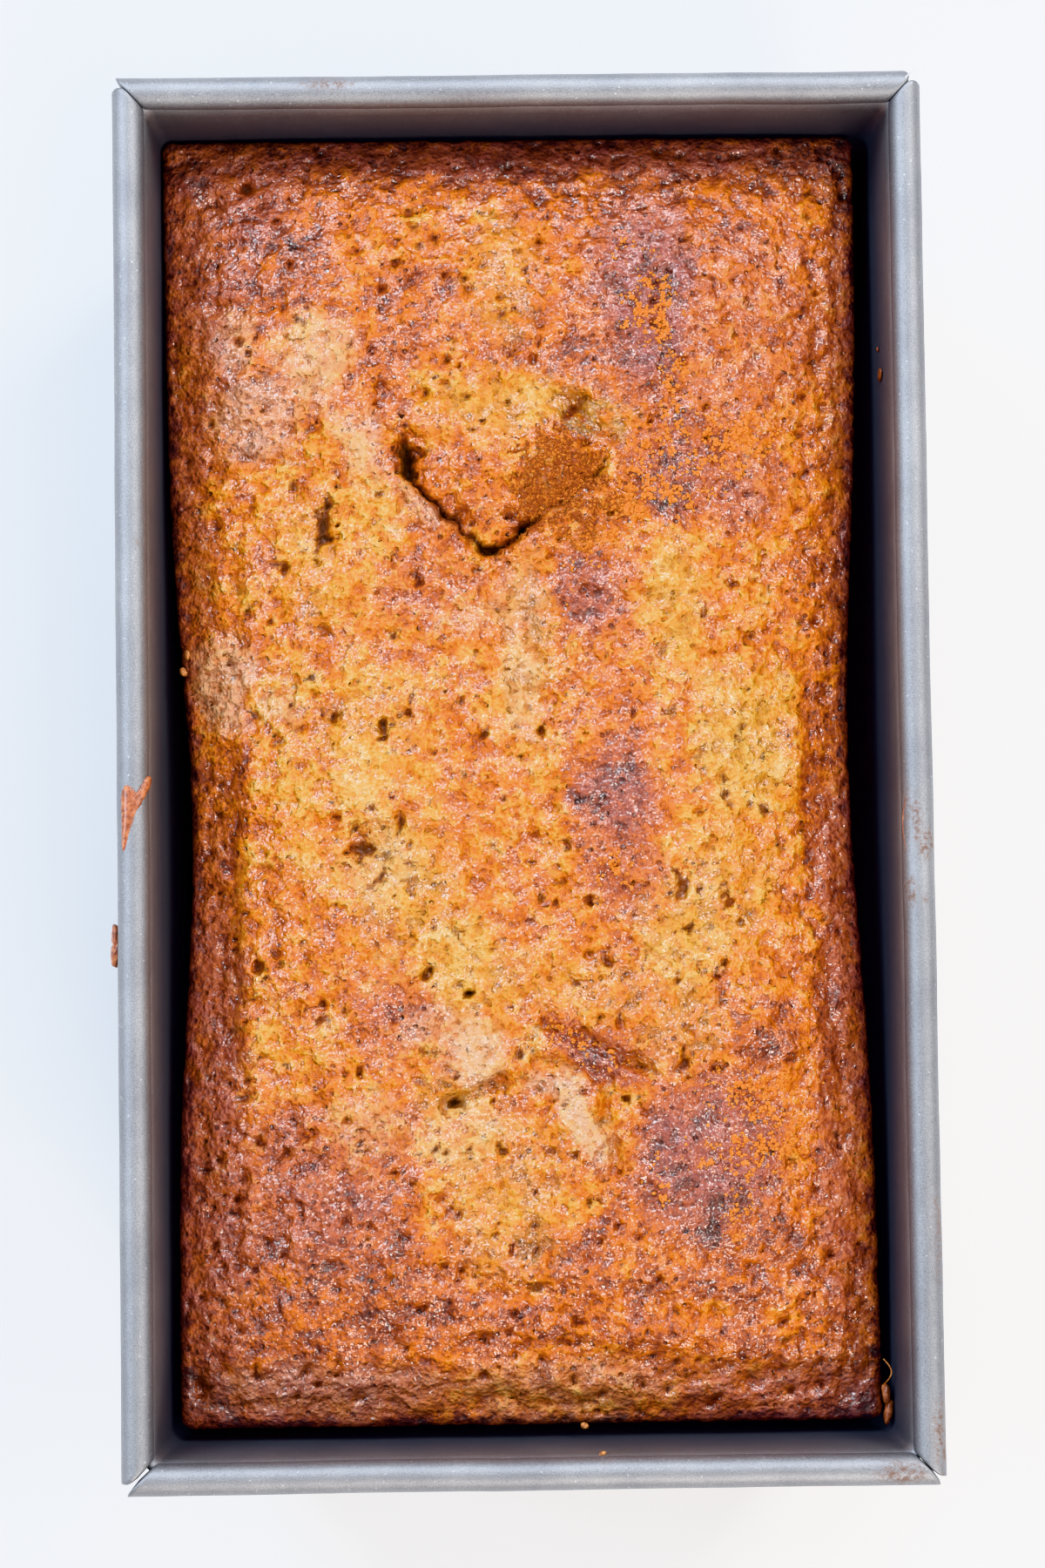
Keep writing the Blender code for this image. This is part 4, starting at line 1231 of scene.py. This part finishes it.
def add_camera():
    data = bpy.data.cameras.new("camera")
    data.lens = CAMERA_LENS
    data.clip_start = 0.01
    camera = bpy.data.objects.new("camera", data)
    turn = (Matrix.Rotation(CAMERA_ROLL, 4, "Z") @ Matrix.Rotation(CAMERA_TILT, 4, "X")
            @ Matrix.Rotation(CAMERA_LEAN, 4, "Y"))
    aim = Vector((*CAMERA_AIM, CURL_MIDDLE * MM))
    back = turn.to_3x3() @ Vector((0, 0, CAMERA_DISTANCE))
    camera.matrix_world = Matrix.Translation(aim + back) @ turn
    bpy.context.scene.collection.objects.link(camera)
    bpy.context.scene.camera = camera


def add_panel(name, place, size, power, colour):
    """A rectangular soft light that faces the bread."""
    data = bpy.data.lights.new(name, "AREA")
    data.shape = "RECTANGLE"
    data.size, data.size_y = size
    data.energy = power
    data.color = colour
    lamp = bpy.data.objects.new(name, data)
    lamp.location = place
    lamp.rotation_euler = (Vector(place) - Vector((0, 0, 0.06))).to_track_quat("Z", "Y").to_euler()
    bpy.context.scene.collection.objects.link(lamp)


def add_lights():
    world = bpy.data.worlds.new("room")
    bpy.context.scene.world = world
    world.use_nodes = True
    world.node_tree.nodes["Background"].inputs["Color"].default_value = (0.95, 0.96, 1.0, 1.0)
    world.node_tree.nodes["Background"].inputs["Strength"].default_value = 0.50
    cool, plain, warm = (0.78, 0.88, 1.0), (1.0, 0.98, 0.95), (1.0, 0.91, 0.82)
    add_panel("window_far_left", (-0.80, 0.80, 1.10), (0.50, 0.55), 14.0, cool)
    add_panel("window_left", (-1.10, 0.00, 0.95), (0.45, 0.45), 8.0, cool)
    add_panel("key_far_right", (0.75, 0.80, 1.20), (0.45, 0.45), 14.0, plain)
    add_panel("key_far", (0.05, 1.20, 1.05), (0.50, 0.40), 9.5, cool)
    add_panel("window_right", (1.10, -0.10, 1.00), (0.40, 0.40), 5.0, plain)
    add_panel("warm_near", (0.35, -1.15, 1.00), (0.50, 0.50), 16.0, warm)


def add_floor():
    bpy.ops.mesh.primitive_plane_add(size=6.0, location=(0, 0, -0.0002))
    floor = bpy.context.object
    floor.name = "tabletop"
    floor.data.materials.append(floor_material())


# ---------------------------------------------------------------- assembly

def swell(step, steps, reach=1.0):
    """Rises from 0 to reach half-way, and falls back."""
    return reach * math.sin(math.pi * step / steps)


def add_bare_edges():
    """Bright sheet edges at three of the mitres."""
    bare = bare_metal_material()
    x, y = FAR_LEFT_HOLE
    turns = [math.pi * step / 8 for step in range(15)]
    lip = [(x + 0.62 * math.cos(turn), y + 0.62 * math.sin(turn), 68.1) for turn in turns]
    ride_root(tube("corner_lip_far_left", lip, [0.13] * len(lip), bare))
    edge = [(mix(64.3, 68.0, step / 8), mix(116.6, 119.4, step / 8), 68.0 + swell(step, 12, 1.9))
            for step in range(9)]
    ride_root(tube("corner_edge_far_right", edge, [0.12] * len(edge), bare))
    glint = [(64.3 + 0.3 * step, -116.8 + 0.1 * step, 68.3) for step in range(4)]
    ride_root(tube("corner_glint_near_right", glint, [0.13] * len(glint), bare))


def add_pan():
    coating = steel_material()
    tray = make_tray(coating)
    ride_root(tray)
    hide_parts("loaf_pan")
    for side in ("left", "right", "far", "near"):
        ride_root(make_curl(side, coating))
    add_bare_edges()
    # Dark lumps in the mitres' holes: painted shade.
    ride_root(make_lumps("painted_corner_hole_shades", HOLES, painted_hole_shade_material(), 93))


# Crumb: centre, radii and turn; each rests on the crust's edge, a wall or a curl.
CRUMBS = (
    (11.5, -113.9, 65.8, 0.6, 0.4, 0.5, 20), (8.9, -110.7, 52.2, 0.7, 0.5, 0.5, -15),
    (-58.6, 19.5, 52.4, 0.6, 0.8, 0.6, 30), (-57.9, 22.4, 52.4, 0.5, 0.8, 0.5, 10),
)
# Spots of batter on the right wall, outside the left curl and in the gap at
# the near right corner.
SPOTS = (
    (62.45, 69.3, 56, 0.25, 1.1, 2.2, 0), (62.3, 74, 54.8, 0.2, 0.4, 0.6, 0),
    (-69.35, -26.6, 66.3, 0.75, 2.3, 1.3, 4), (-69.35, -29.2, 66, 0.85, 2.4, 1.4, -3),
    (60.7, -106, 51.5, 0.7, 1.8, 1.6, 6), (61.1, -109.2, 51, 0.7, 2.2, 1.6, -8),
)
# Hole at a mitre, filled by a dark lump as painted shade: centre, radii and turn.
FAR_LEFT_HOLE = (-63.7, 116.1)
HOLES = (
    (*FAR_LEFT_HOLE, 68, 0.5, 0.5, 0.2, 0), (63.9, 116.3, 68.2, 0.45, 0.45, 0.2, 0),
    (-64, -116.6, 68, 0.4, 0.55, 0.2, 30), (63.9, -116.3, 68, 0.55, 0.4, 0.2, 30),
)
# Batter run over the left curl, as make_smear's path, and its thickness.
DRIPS = {
    "batter_drip": (((-1, 20, 0.5), (-2.4, 14, 1.3), (-4.4, 10, 1.6), (-6.6, 18, 1.1),
                     (-9.2, 26, 0.6), (-12.2, 32, 0.3)), 0.32),
    "batter_drip_edge": (((0.4, -84, 0.5), (-0.4, -68, 0.9), (-1.8, -44, 0.8), (-3.4, -20, 0.8),
                          (-5.2, 4, 0.9)), 0.36),
}


def add_baked_on():
    batter = batter_material()
    for name, (path, thickness) in DRIPS.items():
        ride_root(make_smear(name, "left", path, batter, thickness))
    ride_root(make_lumps("batter_spots", SPOTS, batter, 91))
    dent = [curl_point("right", -4.5 - 9.5 * step / 12, -50 - swell(step, 12, 22)) for step in range(13)]
    thick = [0.05 + swell(step, 12, 0.09) for step in range(13)]
    ride_root(tube("dent_edge", dent, thick, batter))
    crumb = crumb_material()
    ride_root(make_lumps("loose_crumbs", CRUMBS, crumb, 92))
    bow = [(60.2 + swell(step, 8, 1.3), -104.4 + 0.55 * step, 53.0 + swell(step, 8, 0.9))
           for step in range(9)]
    thick = [0.08 + swell(step, 8, 0.06) for step in range(9)]
    ride_root(tube("curled_crumb", bow, thick, crumb))


def add_bread():
    crust = Crust()
    colouring = crust_colouring(crust)
    bread = make_bread(crust, colouring, crust_material())
    ride_root(bread)
    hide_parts("banana_bread")
    grains = make_cinnamon(crust, colouring["dust"], cinnamon_material())
    ride_root(grains)


def main():
    scene = bpy.context.scene
    scene.view_settings.view_transform = "Khronos PBR Neutral"
    add_camera()
    add_lights()
    add_floor()
    add_pan()
    add_baked_on()
    add_bread()


main()
